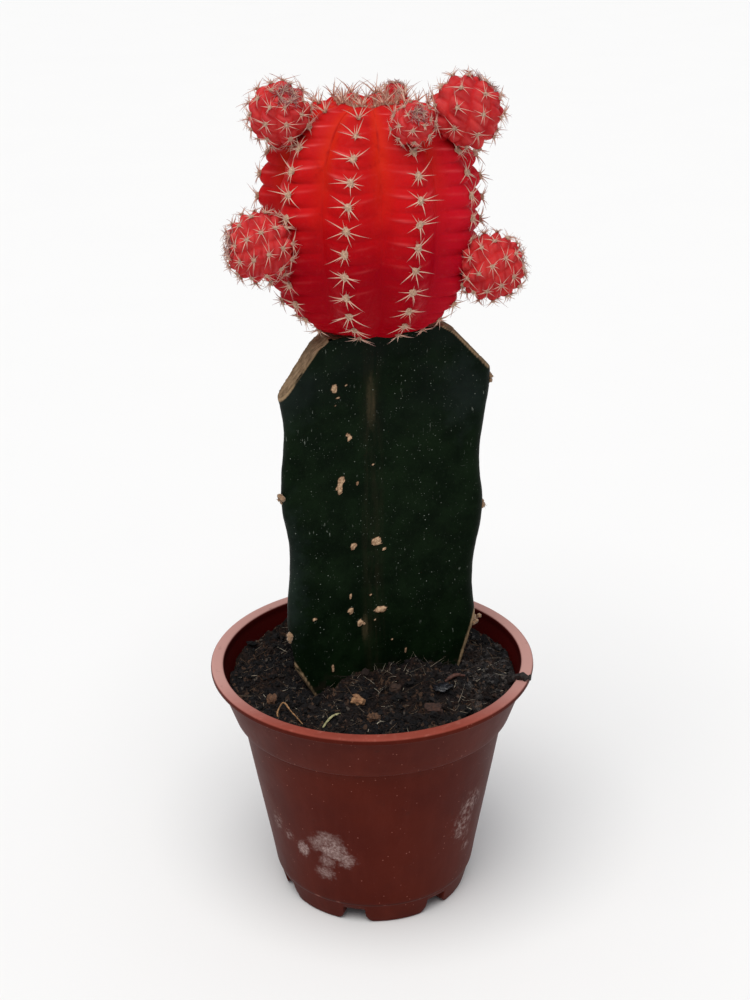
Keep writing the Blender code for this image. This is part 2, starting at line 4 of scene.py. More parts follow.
import bpy
import numpy as np
from mathutils import Euler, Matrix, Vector


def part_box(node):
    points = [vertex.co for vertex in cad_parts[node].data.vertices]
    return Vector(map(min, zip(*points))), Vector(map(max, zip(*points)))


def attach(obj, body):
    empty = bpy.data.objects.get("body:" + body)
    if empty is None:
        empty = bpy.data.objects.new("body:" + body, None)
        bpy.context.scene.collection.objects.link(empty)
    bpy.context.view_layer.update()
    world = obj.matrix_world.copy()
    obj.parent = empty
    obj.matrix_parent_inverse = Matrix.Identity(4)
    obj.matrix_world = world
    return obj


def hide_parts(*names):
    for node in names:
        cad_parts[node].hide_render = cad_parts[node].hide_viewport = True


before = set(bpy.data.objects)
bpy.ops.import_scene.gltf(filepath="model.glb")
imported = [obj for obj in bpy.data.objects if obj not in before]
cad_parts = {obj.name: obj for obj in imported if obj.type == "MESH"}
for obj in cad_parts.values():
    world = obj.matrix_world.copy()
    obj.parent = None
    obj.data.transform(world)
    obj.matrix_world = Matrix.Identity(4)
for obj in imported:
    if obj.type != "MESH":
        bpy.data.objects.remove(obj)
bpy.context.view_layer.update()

mm = 0.001          # lengths below are in millimetres
draw = np.random.default_rng(85)


def box(node):
    # lowest and highest corner of a CAD node, in millimetres
    low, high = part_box(node)
    return np.array(low) / mm, np.array(high) / mm


def ballThrough(node):
    # the ball that best fits a node's points: |p|^2 = 2 c.p + k solved for c and k by least squares
    p = np.array([v.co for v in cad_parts[node].data.vertices]) / mm
    found = np.linalg.lstsq(np.c_[2 * p, np.ones(len(p))], (p**2).sum(1), rcond=None)[0]
    return found[:3], math.sqrt(found[3] + found[:3] @ found[:3])


# Numbers on grids

def latticeNoise(p, seed=0):
    # random value at every whole-number corner, blended by 3t^2 - 2t^3 along each axis; runs -1 to 1
    p = np.asarray(p, float)
    cell = np.floor(p).astype(np.int64)
    t = p - cell
    t = t * t * (3 - 2 * t)
    total = np.zeros(p.shape[:-1])
    for corner in itertools.product((0, 1), repeat=3):
        c = cell + corner
        # whole-number hash of the corner: multiply by large odd numbers, then fold the high bits down
        h = c[..., 0] * 374761393 + c[..., 1] * 668265263 + c[..., 2] * 1440662683 + seed * 97561
        h = h & 0xFFFFFFFF
        h = ((h ^ (h >> 13)) * 1274126177) & 0xFFFFFFFF
        h = h ^ (h >> 16)
        weight = np.prod(np.where(corner, t, 1 - t), axis=-1)
        total += weight * (h / 0x7FFFFFFF - 1)
    return total


def roughNoise(p, size, octaves=3, seed=0):
    # lattice noise added to itself at half the size and half the height, octave by octave
    p = np.asarray(p, float) / size
    return sum(latticeNoise(p * 2**i, seed + i) * 0.5**i for i in range(octaves))


def smoothStep(low, high, x):
    t = np.clip((x - low) / (high - low), 0, 1)
    return t * t * (3 - 2 * t)


def bell(x, width):
    return np.exp(-((x / width) ** 2))


def unit(v):
    return v / np.maximum(np.linalg.norm(v, axis=-1, keepdims=True), 1e-9)


def polar(radius, turn, height):
    # x = radius cos(turn), y = radius sin(turn), z = height, each spread to the same grid
    radius, turn, height = np.broadcast_arrays(radius, turn, height)
    return np.stack([radius * np.cos(turn), radius * np.sin(turn), height], -1)


def circle(sides):
    # evenly spaced turns round a circle, in radians
    return np.arange(sides) * 2 * math.pi / sides


def gridNormals(rings):
    # cross product of the step round a ring and the step up to the next ring
    around = np.roll(rings, -1, 1) - np.roll(rings, 1, 1)
    return unit(np.cross(around, np.gradient(rings, axis=0)))


# Meshes

def putMesh(name, points, faces, numbers=None, smooth=True):
    # faces is a list of arrays of corner numbers; numbers holds one value per point under each name
    mesh = bpy.data.meshes.new(name)
    corners = np.concatenate([f.reshape(-1) for f in faces]).astype(np.int32)
    sizes = np.concatenate([np.full(len(f), f.shape[1]) for f in faces])
    mesh.vertices.add(len(points))
    mesh.vertices.foreach_set("co", (points * mm).astype(np.float32).ravel())
    mesh.loops.add(len(corners))
    mesh.polygons.add(len(sizes))
    mesh.polygons.foreach_set("loop_start", np.concatenate([[0], np.cumsum(sizes)[:-1]]).astype(np.int32))
    mesh.polygons.foreach_set("vertices", corners)
    mesh.polygons.foreach_set("use_smooth", np.full(len(sizes), smooth))
    for key, values in (numbers or {}).items():
        layer = mesh.attributes.new(key, "FLOAT", "POINT")
        layer.data.foreach_set("value", np.broadcast_to(values, len(points)).astype(np.float32))
    mesh.update(calc_edges=True)
    mesh.validate()
    made = bpy.data.objects.new(name, mesh)
    bpy.context.scene.collection.objects.link(made)
    return made


def shell(name, rings, south, north, numbers=None):
    # a stack of rings, bottom to top, joined by four-cornered faces; a point closes each end as a fan
    rows, columns = rings.shape[:2]
    i = np.arange(rows - 1)[:, None] * columns
    j = np.arange(columns)[None]
    k = (j + 1) % columns
    faces = [np.stack([i + j, i + k, i + columns + k, i + columns + j], -1).reshape(-1, 4)]
    points = [rings.reshape(-1, 3)]
    numbers = {key: list(v.ravel()) for key, v in (numbers or {}).items()}
    for pole, first, turned in ((south, 0, True), (north, (rows - 1) * columns, False)):
        count = sum(len(p) for p in points)
        a, b = (k, j) if turned else (j, k)
        faces.append(np.stack([np.full(columns, count), first + a[0], first + b[0]], -1))
        points.append(np.asarray(pole, float).reshape(1, 3))
        for values in numbers.values():
            values.append(np.mean(values[first : first + columns]))
    return putMesh(name, np.concatenate(points), faces, {key: np.array(v) for key, v in numbers.items()})


def scatter(name, template, faces, places, frames, sizes, numbers=None, smooth=True):
    # one template copied to every place: point = place + size * (x*right + y*ahead + z*up)
    shapes = template if template.ndim == 3 else template[None]
    points = places[:, None] + np.einsum("nvi,nij->nvj", shapes * sizes[:, None], frames)
    step = np.arange(len(places))[:, None, None] * points.shape[1]
    corners = [(f[None] + step).reshape(-1, f.shape[1]) for f in faces]
    numbers = {k: np.broadcast_to(v, points.shape[:2]).ravel() for k, v in (numbers or {}).items()}
    return putMesh(name, points.reshape(-1, 3), corners, numbers, smooth)


def hairs(name, roots, ways, lengths, radii, bends, sides=4, steps=5, numbers=None):
    # tapered curved hairs: centre(t) = root + way*length*t + bend*length*t^2, radius(t) = r*(1 - t)^0.7
    t = np.linspace(0, 1, steps + 1)[:-1]
    reach = lengths[:, None, None]
    centre = roots[:, None] + ways[:, None] * reach * t[:, None] + bends[:, None] * reach * t[:, None] ** 2
    tangent = unit(ways[:, None] + 2 * bends[:, None] * t[:, None])
    aside = unit(np.cross(tangent, np.array([0.31, 0.52, 0.79])))
    above = np.cross(tangent, aside)
    turn = circle(sides)
    out = aside[:, :, None] * np.cos(turn)[:, None] + above[:, :, None] * np.sin(turn)[:, None]
    width = radii[:, None, None, None] * ((1 - t) ** 0.7)[:, None, None]
    tube = (centre[:, :, None] + out * width).reshape(len(roots), -1, 3)
    tips = (roots + (ways + bends) * lengths[:, None])[:, None]
    points = np.concatenate([tube, tips, centre[:, :1]], 1)
    i = np.arange(steps - 1)[:, None] * sides
    j = np.arange(sides)[None]
    k = (j + 1) % sides
    quads = np.stack([i + k, i + j, i + sides + j, i + sides + k], -1).reshape(-1, 4)[:, ::-1]
    last = (steps - 1) * sides
    tip = steps * sides
    cone = np.stack([last + j[0], last + k[0], np.full(sides, tip)], -1)
    foot = np.stack([k[0], j[0], np.full(sides, tip + 1)], -1)
    step = np.arange(len(roots))[:, None, None] * points.shape[1]
    faces = [(f[None] + step).reshape(-1, f.shape[1]) for f in (quads, cone, foot)]
    along = np.concatenate([np.repeat(t, sides), [1, 0]])
    values = {"along": np.tile(along, len(roots))}
    for key, each in (numbers or {}).items():
        values[key] = np.repeat(each, points.shape[1])
    return putMesh(name, points.reshape(-1, 3), faces, values)


def icoBall(splits=0):
    # twenty triangles round a ball, each side halved and pushed back out to the ball, splits times
    g = (1 + math.sqrt(5)) / 2
    p = [(-1, g, 0), (1, g, 0), (-1, -g, 0), (1, -g, 0), (0, -1, g), (0, 1, g)]
    p += [(0, -1, -g), (0, 1, -g), (g, 0, -1), (g, 0, 1), (-g, 0, -1), (-g, 0, 1)]
    f = [(0, 11, 5), (0, 5, 1), (0, 1, 7), (0, 7, 10), (0, 10, 11), (1, 5, 9), (5, 11, 4), (11, 10, 2)]
    f += [(10, 7, 6), (7, 1, 8), (3, 9, 4), (3, 4, 2), (3, 2, 6), (3, 6, 8), (3, 8, 9), (4, 9, 5)]
    f += [(2, 4, 11), (6, 2, 10), (8, 6, 7), (9, 8, 1)]
    points = unit(np.array(p, float))
    faces = np.array(f)
    for _ in range(splits):
        edges = np.sort(np.concatenate([faces[:, [0, 1]], faces[:, [1, 2]], faces[:, [2, 0]]]), 1)
        pairs, where = np.unique(edges, axis=0, return_inverse=True)
        a, b, c = len(points) + where.reshape(3, -1)
        points = np.concatenate([points, unit(points[pairs].mean(1))])
        x, y, z = faces.T
        faces = np.concatenate([np.stack(s, 1) for s in ((x, a, c), (a, y, b), (c, b, z), (a, b, c))])
    return points, faces


def place(piece, look, slot, *nodes):
    # gives a finished piece its look, rides it on the one body and hides the CAD nodes it stands in for
    piece.data.materials.append(look)
    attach(piece, "root")
    if nodes:
        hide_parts(*nodes)


# Shader expressions

class Wire:
    # a socket that can be used in a sum: an operator on it adds a Math node
    def __init__(self, look, socket):
        self.look = look
        self.socket = socket

    def maths(self, operation, a, b=0.0, clamp=False):
        return self.look.node("ShaderNodeMath", {"operation": operation, "use_clamp": clamp}, {0: a, 1: b})

    def __add__(self, other):
        return self.maths("ADD", self, other)

    __radd__ = __add__

    def __mul__(self, other):
        return self.maths("MULTIPLY", self, other)

    __rmul__ = __mul__

    def __sub__(self, other):
        return self.maths("SUBTRACT", self, other)

    def __rsub__(self, other):
        return self.maths("SUBTRACT", other, self)

    def over(self, low, high):
        # 0 below low, 1 above high, smooth between
        settings = {"interpolation_type": "SMOOTHSTEP"}
        return self.look.node("ShaderNodeMapRange", settings, {0: self, 1: low, 2: high, 3: 0.0, 4: 1.0})

    def clipped(self):
        return self.maths("ADD", self, 0.0, True)


class Look:
    def __init__(self, name, **fixed):
        self.material = bpy.data.materials.new(name)
        self.material.use_nodes = True
        self.tree = self.material.node_tree
        self.shader = self.tree.nodes["Principled BSDF"]
        for key, value in fixed.items():
            self.shader.inputs[key.replace("_", " ")].default_value = value
        self.place = self.node("ShaderNodeTexCoord", output="Object")

    def node(self, kind, settings=None, values=None, output=0):
        made = self.tree.nodes.new(kind)
        for key, value in (settings or {}).items():
            if key == "stops":
                ramp = made.color_ramp
                while len(ramp.elements) < len(value):
                    ramp.elements.new(0.5)
                for element, (at, colour) in zip(ramp.elements, value):
                    element.position = at
                    element.color = (*colour, 1)
            else:
                setattr(made, key, value)
        for key, value in (values or {}).items():
            if isinstance(value, Wire):
                self.tree.links.new(value.socket, made.inputs[key])
            else:
                made.inputs[key].default_value = value
        return Wire(self, made.outputs[output])

    def noise(self, size, detail=3.0, rough=0.55, at=None):
        # size is the width of one lump in millimetres
        values = {"Vector": at or self.place, "Scale": 1 / (size * mm), "Detail": detail, "Roughness": rough}
        return self.node("ShaderNodeTexNoise", None, values)

    def cells(self, size, feature="F1", output="Distance"):
        values = {"Vector": self.place, "Scale": 1 / (size * mm), "Randomness": 1.0}
        return self.node("ShaderNodeTexVoronoi", {"feature": feature}, values, output)

    def number(self, name):
        return self.node("ShaderNodeAttribute", {"attribute_name": name}, output="Fac")

    def mix(self, share, a, b):
        a, b = (x if isinstance(x, Wire) else (*x, 1) for x in (a, b))
        return self.node("ShaderNodeMix", {"data_type": "RGBA"}, {0: share, 6: a, 7: b}, 2)

    def blotch(self, colour, tint, share, size, detail, low, high, rough=0.55):
        # lays a tint over a colour wherever noise of the given size rises from low to high
        return self.mix(self.noise(size, detail, rough).over(low, high) * share, colour, tint)

    def ramp(self, share, stops):
        return self.node("ShaderNodeValToRGB", {"stops": stops}, {0: share})

    def split(self, axis):
        return self.node("ShaderNodeSeparateXYZ", None, {0: self.place}, axis)

    def facingUp(self):
        normal = self.node("ShaderNodeNewGeometry", output="Normal")
        return self.node("ShaderNodeSeparateXYZ", None, {0: normal}, "Z")

    def vectors(self, operation, a, b, output=0):
        return self.node("ShaderNodeVectorMath", {"operation": operation}, {0: a, 1: b}, output)

    def squeeze(self, x, y, z):
        return self.vectors("MULTIPLY", self.place, (x, y, z))

    def near(self, x, y, z, sizes, shaken=0.0):
        # distance from a point, counted in the given sizes, with its edge shaken by noise
        away = self.vectors("SUBTRACT", self.place, (x * mm, y * mm, z * mm))
        away = self.vectors("DIVIDE", away, tuple(s * mm for s in sizes))
        length = self.vectors("DISTANCE", away, (0, 0, 0), "Value")
        return length + (self.noise(min(sizes) * 0.45, 5, 0.65) - 0.5) * shaken

    def finish(self, colour, rough=None, bumps=()):
        # bumps are (height, depth in millimetres) pairs, laid one over another
        normal = None
        for height, depth in bumps:
            values = {"Height": height, "Distance": depth * mm, "Strength": 1.0}
            if normal is not None:
                values["Normal"] = normal
            normal = self.node("ShaderNodeBump", None, values)
        links = {"Base Color": colour, "Roughness": rough, "Normal": normal}
        for key, value in links.items():
            if isinstance(value, Wire):
                self.tree.links.new(value.socket, self.shader.inputs[key])
            elif value is not None:
                self.shader.inputs[key].default_value = value
        return self.material


def srgb(*parts):
    # 0-255 screen values to the linear ones that a shader takes
    return tuple((p / 255 / 12.92) if p < 10 else ((p / 255 + 0.055) / 1.055) ** 2.4 for p in parts)


# Camera, light and floor

studio = {
    "cameraAt": (1.26, -400.0, 288.9), "cameraDown": 23.84, "cameraRoll": -0.66, "lens": 62.0,
    "sunHeight": 68, "sunSide": -14, "sunAngle": 50, "sunPower": 2.55, "skyPower": 0.46,
    "sunColour": (1.0, 0.985, 0.96), "skyColour": (0.93, 0.95, 1.0, 1),
    "floorSize": 7000, "floorColour": (0.84, 0.84, 0.835),
}


def setStudio():
    lens = bpy.data.cameras.new("camera")
    lens.lens = studio["lens"]
    lens.clip_start = 0.01
    camera = bpy.data.objects.new("camera", lens)
    camera.location = [c * mm for c in studio["cameraAt"]]
    down = Euler((math.radians(90 - studio["cameraDown"]), 0, 0)).to_matrix()
    roll = Euler((0, 0, math.radians(studio["cameraRoll"]))).to_matrix()
    camera.rotation_euler = (down @ roll).to_euler()
    bpy.context.scene.collection.objects.link(camera)
    bpy.context.scene.camera = camera
    lamp = bpy.data.lights.new("softSun", "SUN")
    lamp.energy = studio["sunPower"]
    lamp.angle = math.radians(studio["sunAngle"])
    lamp.color = studio["sunColour"]
    sun = bpy.data.objects.new("softSun", lamp)
    sun.rotation_euler = (math.radians(90 - studio["sunHeight"]), 0, math.radians(studio["sunSide"]))
    bpy.context.scene.collection.objects.link(sun)
    world = bpy.data.worlds.new("paleRoom")
    world.use_nodes = True
    sky = world.node_tree.nodes["Background"].inputs
    sky["Color"].default_value = studio["skyColour"]
    sky["Strength"].default_value = studio["skyPower"]
    bpy.context.scene.world = world
    bpy.context.scene.view_settings.view_transform = "Standard"
    half = studio["floorSize"] / 2
    corners = np.array([(-half, -half, 0), (half, -half, 0), (half, half, 0), (-half, half, 0)], float)
    floor = putMesh("floor", corners, [np.array([[0, 1, 2, 3]])])
    paper = Look("floorPaper", Roughness=0.9)
    shaded = tuple(c * 0.985 for c in studio["floorColour"])
    floor.data.materials.append(paper.finish(paper.mix(paper.noise(60, 2), studio["floorColour"], shaded)))
    print("studio set")


# Pot

pot = {
    "lipWidth": 3.4, "lipDepth": 1.6, "overhang": 1.5, "collarHeight": 13.2, "collarTaper": 4.3,
    "collarStep": 1.9, "baseRadius": 27.9, "baseRounding": 5.8, "footRadius": 26.6, "footWidth": 2.4,
    "footDraft": 1.6, "footHeight": 6.6, "underside": 5.0, "feet": 7, "notchTurn": -102.3,
    "notchWidth": 6.2, "notchRounding": 2.9, "wall": 1.2, "drainCircle": 15.5, "drainRadius": 2.5,
    "seamHeight": 6.8,
}
potRim = box("pot")[1][0]          # radius of the lip
potTop = box("pot")[1][2]          # height of the lip


def roundedLine(corners, radii, steps=5):
    # every corner of a line gives way to a Bezier arc that starts and ends its radius away
    line = [corners[0]]
    for a, b, c, r in zip(corners, corners[1:], corners[2:], radii[1:]):
        start = b + unit(a - b) * min(r, np.linalg.norm(a - b) * 0.49)
        end = b + unit(c - b) * min(r, np.linalg.norm(c - b) * 0.49)
        t = np.linspace(0, 1, steps)[:, None]
        line += list((1 - t) ** 2 * start + 2 * t * (1 - t) * b + t**2 * end)
    return np.array(line + [corners[-1]])


def denser(line, longest):
    # extra points so that no step along the line is longer than this
    out = [line[0]]
    for a, b in zip(line, line[1:]):
        count = max(1, int(math.ceil(np.linalg.norm(b - a) / longest)))
        out += [a + (b - a) * (i + 1) / count for i in range(count)]
    return np.array(out)


def potInnerRadius(height):
    # the inner wall, parallel to the outer one: straight between the base, the collar's step and the lip
    p = pot
    lipUnder = potTop - p["lipDepth"]
    step = lipUnder - p["collarHeight"]
    collar = potRim - p["overhang"]
    heights = [p["footHeight"], p["footHeight"] + p["baseRounding"], step - 1.2, step + 1.2, lipUnder]
    radii = [p["footRadius"] - 2, p["baseRadius"], collar - p["collarTaper"] - p["collarStep"],
             collar - p["collarTaper"], collar - 0.3]
    return np.interp(height, heights, radii) - p["wall"]


def makePot():
    p = pot
    rim, top = potRim, potTop
    lipUnder = top - p["lipDepth"]
    step = lipUnder - p["collarHeight"]
    collar = rim - p["overhang"]
    collarFoot = collar - p["collarTaper"]
    body = collarFoot - p["collarStep"]
    baseTop = p["footHeight"] + p["baseRounding"]
    floorTop = p["underside"] + p["wall"]
    foot = p["footRadius"]
    bottom = foot - p["footDraft"]
    inner = bottom - p["footWidth"]
    # radius, height and rounding of each corner: from under the floor, up the outside, over the lip
    # and down inside
    corners = [
        (2.0, p["underside"], 0), (inner - 0.4, p["underside"], 0.5), (inner, 0, 0.5), (bottom - 0.1, 0, 0.7),
        (foot, p["footHeight"] - 0.3, 0.3), (p["baseRadius"] - 0.8, p["footHeight"] + 0.4, 1.4),
        (p["baseRadius"], baseTop, 4.5), (body, step - 0.1, 0.5), (collarFoot - 0.1, step + 0.7, 0.7),
        (collar, lipUnder, 0.3), (rim, lipUnder, 0.5), (rim, top, 0.9),
        (rim - p["lipWidth"], top, 0.8), (rim - p["lipWidth"] - 0.05, lipUnder - 0.4, 0.6),
        (potInnerRadius(step + 1.5), step + 1.5, 1.5), (potInnerRadius(step - 1.5), step - 1.5, 1.5),
        (p["baseRadius"] - p["wall"], baseTop, 4), (inner, floorTop, 1.0), (2.0, floorTop, 0),
    ]
    line = denser(roundedLine(np.array([c[:2] for c in corners]), [c[2] for c in corners]), 1.6)
    # one foot's outline, from the middle of a notch: distance along the ring and height of the lower edge
    half, curve, up = p["notchWidth"] / 2, p["notchRounding"], p["underside"] - 0.05
    turn = np.linspace(0, math.pi / 2, 6)
    notch = [(0, up), (half * 0.5, up), (half - 0.7, up), (half - 0.25, up - 0.12), (half - 0.05, up - 0.5)]
    notch = np.array(notch + [(half + curve * (1 - math.cos(a)), curve * (1 - math.sin(a))) for a in turn])
    pitch = 2 * math.pi / p["feet"]
    offset = notch[:, 0] / foot
    rest = np.linspace(offset[-1], pitch / 2, 10)[1:]
    side = np.concatenate([offset, rest])
    lift = np.concatenate([notch[:, 1], np.zeros(len(rest))])
    turns = np.concatenate([-side[:0:-1], side[:-1]])
    lifts = np.concatenate([lift[:0:-1], lift[:-1]])
    start = math.radians(p["notchTurn"])
    turns = np.concatenate([start + i * pitch + turns for i in range(p["feet"])])
    lifts = np.tile(lifts, p["feet"])
    radius = line[:, 0][:, None] + 0 * turns
    height = line[:, 1][:, None] + 0 * turns
    onFoot = (np.arange(len(line)) < np.argmax(line[:, 1] > p["footHeight"]))[:, None]
    height = np.where(onFoot, np.maximum(height, np.minimum(lifts, p["underside"])), height)
    # moulded plastic is never quite round: the wall wanders by a tenth of a millimetre
    wander = 0.12 * np.sin(2 * turns + 0.7) + 0.07 * np.sin(3 * turns + 2.1)
    radius = radius + wander * smoothStep(8, 40, height) * smoothStep(rim + 1, rim - 6, radius)
    inside = np.argmax(line[:, 1] >= top)
    well = smoothStep(inside, inside + 3, np.arange(len(line)))[:, None] + 0 * turns
    rings = polar(radius, turns, height)
    piece = shell("potShell", rings, (0, 0, p["underside"]), (0, 0, floorTop), {"inner": well})
    drillDrains(piece)
    place(piece, potLook(step), "terracotta_plastic", "pot")
    print("pot made", len(piece.data.polygons))


potFinish = {
    "plain": srgb(81, 24, 11), "dark": srgb(71, 18, 8), "wearAndTopLight": srgb(140, 66, 54),
    "insideShade": srgb(66, 8, 7), "seam": srgb(48, 16, 12), "dirt": srgb(40, 22, 18),
    "dust": srgb(176, 112, 98), "lime": srgb(186, 164, 158), "sideSheenAndDust": srgb(192, 148, 140),
    # chalky patches left by hard water: middle, half-size along each axis, thickness
    "patches": [((-18.6, -23.5, 22.6), (2.1, 5, 3.5), 1.5), ((-12.2, -29.0, 28.9), (4.6, 5, 3.2), 0.8),
                ((-14.8, -27.5, 26.2), (4.2, 5, 3.4), 0.7), ((-11.2, -28.5, 24.5), (4.2, 5, 3.4), 1.0),
                ((-7.4, -29.2, 22.6), (3.2, 5, 3.6), 0.95), ((-12.4, -27.2, 20.8), (2.8, 5, 2.6), 0.8),
                ((-13.0, -25.9, 16.6), (3.4, 5, 2.9), 0.75), ((-9.2, -29.0, 26.4), (2.8, 5, 2.6), 0.8)],
    "smears": [((23.5, -19.5, 27.0), (3.6, 7, 8.5)), ((25.5, -18.0, 33.5), (4.0, 7, 5.0)),
               ((24.3, -16.1, 17.5), (1.6, 6, 2.2)), ((-25.5, -17.5, 27.2), (1.7, 6, 4.4)),
               ((-22.4, -20.7, 25.0), (1.6, 6, 2.4)), ((19.0, 22.0, 26.0), (7.0, 6, 8.0)),
               ((-14.0, 26.0, 38.0), (5.0, 6, 9.0))],
}


def drillDrains(piece):
    # one round hole in the middle of the floor and one behind each foot
    p = pot
    turn = math.radians(p["notchTurn"]) + 2 * math.pi * (np.arange(p["feet"]) + 0.5) / p["feet"]
    places = np.concatenate([np.zeros((1, 3)), polar(p["drainCircle"], turn, 0.0)])
    places = places + (0, 0, p["underside"] + p["wall"] / 2)
    sides = 28
    rod = np.concatenate([polar(1.0, circle(sides), -1.0), polar(1.0, circle(sides), 1.0)])
    i = np.arange(sides)
    j = (i + 1) % sides
    faces = [np.stack([i, j, j + sides, i + sides], -1), i[None, ::-1], i[None] + sides]
    frames = np.repeat(np.eye(3)[None], len(places), 0)
    drills = scatter("drills", rod, faces, places, frames, np.full((len(places), 1), p["drainRadius"]))
    cut = piece.modifiers.new("drains", "BOOLEAN")
    cut.operation = "DIFFERENCE"
    cut.object = drills
    drilled = piece.evaluated_get(bpy.context.evaluated_depsgraph_get())
    piece.data = bpy.data.meshes.new_from_object(drilled)
    piece.modifiers.clear()
    bpy.data.objects.remove(drills)


def potLook(step):
    f = potFinish
    look = Look("terracottaPlastic", Specular_IOR_Level=0.06)
    z = look.split("Z")
    tone = look.noise(26, 4, 0.6).over(0.3, 0.7)
    colour = look.mix(tone, f["dark"], f["plain"])
    flow = look.noise(3.4, 4, 0.6, look.squeeze(1, 1, 0.16)).over(0.42, 0.75)
    colour = look.mix(flow * 0.05, colour, f["wearAndTopLight"])
    # fine pale specks pressed into the plastic
    specks = 1 - look.cells(1.7).over(0.06, 0.13)
    specks = specks * look.noise(9, 2).over(0.42, 0.6)
    colour = look.mix(specks * 0.55, colour, f["dust"])
    fine = 1 - look.cells(0.55).over(0.05, 0.16)
    colour = look.mix(fine * 0.07, colour, f["dust"])
    # dust and wear on whatever faces up, with painted top light: upward faces near the lip are painted paler,
    # as if lit from above
    up = look.facingUp().over(0.35, 0.95)
    high = z.over((step + 2) * mm, (potTop - 1) * mm)
    colour = look.mix(up * high * (0.7 + 0.45 * look.noise(5, 4)), colour, f["wearAndTopLight"])
    colour = look.mix(up * high * look.noise(2.4, 5, 0.7).over(0.5, 0.8) * 0.5, colour, f["dust"])
    # painted sheen with dust: the lip's left and right sides are painted paler
    sides = look.split("Y").over(-38 * mm, -8 * mm)
    colour = look.mix(up * high * sides * 0.9, colour, f["sideSheenAndDust"])
    # painted shade: the inside wall is painted darker red
    colour = look.mix(look.number("inner") * (1 - up) * 0.92, colour, f["insideShade"])
    # a dark mould line where the feet begin, rubbed pale in places
    fromSeam = z - pot["seamHeight"] * mm
    line = 1 - (fromSeam * fromSeam).over(0.0, 1.4e-7)
    colour = look.mix(line * 0.5, colour, f["seam"])
    rubbed = look.noise(3.4, 3, 0.5, look.squeeze(1, 1, 0)).over(0.58, 0.7)
    colour = look.mix(line * rubbed * 0.6, colour, f["dust"])
    chalk = None
    for middle, sizes, thick in f["patches"]:
        spot = (1 - look.near(*middle, sizes, 1.5).over(0.15, 1.0)) * thick
        chalk = spot if chalk is None else chalk + spot
    grain = look.noise(0.7, 4, 0.7).over(0.38, 0.7)
    chalk = chalk.clipped() * (0.3 + 0.7 * grain)
    colour = look.mix(chalk * 0.78, colour, f["lime"])
    for middle, sizes in f["smears"]:
        smear = (1 - look.near(*middle, sizes, 1.6).over(0.1, 1.0)) * look.noise(1.3, 5, 0.7).over(0.4, 0.66)
        colour = look.mix(smear * 0.5, colour, f["lime"])
    # faint splashes of peat
    colour = look.blotch(colour, f["dirt"], 0.35, 4.2, 6, 0.6, 0.75, 0.7)
    rough = 0.40 + 0.14 * look.noise(7, 4) + 0.3 * chalk + 0.15 * up * high
    bumps = [(look.noise(9, 3), 0.12), (look.noise(0.35, 2), 0.012), (chalk * grain, 0.05)]
    return look.finish(colour, rough, bumps)


# Potting mix

mix = {
    "columns": 330, "rows": 112, "mound": 4.9, "moundAt": (4.5, -2.0), "moundSpread": 16.5,
    "level": -5.5, "gap": 0.45,          # level against the lip, gap between mix and wall
    "lumps": [(6.5, 1.0), (3.4, 1.7), (1.5, 0.9), (0.7, 0.4)],
    # grains: piece, how many, smallest and largest size, times their ball is split
    "grains": [("peatCrumbs", 5000, 0.16, 0.55, 0), ("peatLumps", 420, 0.5, 1.35, 1)],
    "grainShape": (1.2, 0.8, 0.62), "grainRoughness": 0.42,
    "fibres": 4600, "shortestFibre": 1.2, "fibreSpread": 5.2, "rootHairs": 70,
}


def mixLevel():
    return potTop + mix["level"]


def mixHeight(x, y):
    # mound toward the rootstock, plus one soft noise and three ridged ones: height*(0.75 - 1.5*|noise|)
    m = mix
    away = np.hypot(x - m["moundAt"][0], y - m["moundAt"][1])
    z = mixLevel() + m["mound"] * bell(away, m["moundSpread"])
    p = np.stack([x, y, 0 * x], -1)
    for i, (size, height) in enumerate(m["lumps"]):
        fold = latticeNoise(p / size, 40 + i)
        z = z + height * (fold if i == 0 else 0.75 - 1.5 * np.abs(fold))
    return z


def makeMix():
    m = mix
    level = mixLevel()
    floorTop = pot["underside"] + pot["wall"] + 0.3
    wall = [(potInnerRadius(8) - 2.5, floorTop)]
    for h in (8.0, 10.0, 12.5, 30.0, level - 14, level - 8, level - 2):
        wall.append((potInnerRadius(h) - m["gap"], h))
    turns = np.linspace(0, 2 * math.pi, m["columns"], endpoint=False)
    sides = [polar(r, turns, h) for r, h in wall]
    brim = potInnerRadius(level) - m["gap"]
    share = np.linspace(1, 0, m["rows"], endpoint=False)[:, None] ** 0.8
    x, y = brim * share * np.cos(turns), brim * share * np.sin(turns)
    z = mixHeight(x, y) - 0.7 * smoothStep(0.96, 1.0, share)
    rings = np.concatenate([np.array(sides), np.stack([x, y, z], -1)])
    centre = (0, 0, float(mixHeight(np.zeros(1), np.zeros(1))[0]))
    piece = shell("pottingMix", rings, (0, 0, floorTop), centre)
    place(piece, peatLook(), "peat", "potting_mix")
    print("mix made", len(piece.data.polygons))


def dryPatch(look, colour):
    # a dried grey patch near the right-hand rim
    dry = 1 - look.near(30, -4, 64, (14, 18, 9), 4.0).over(0.1, 1.0)
    return look.mix(dry * look.noise(2.2, 6, 0.75).over(0.46, 0.62) * 0.7, colour, srgb(96, 92, 90))


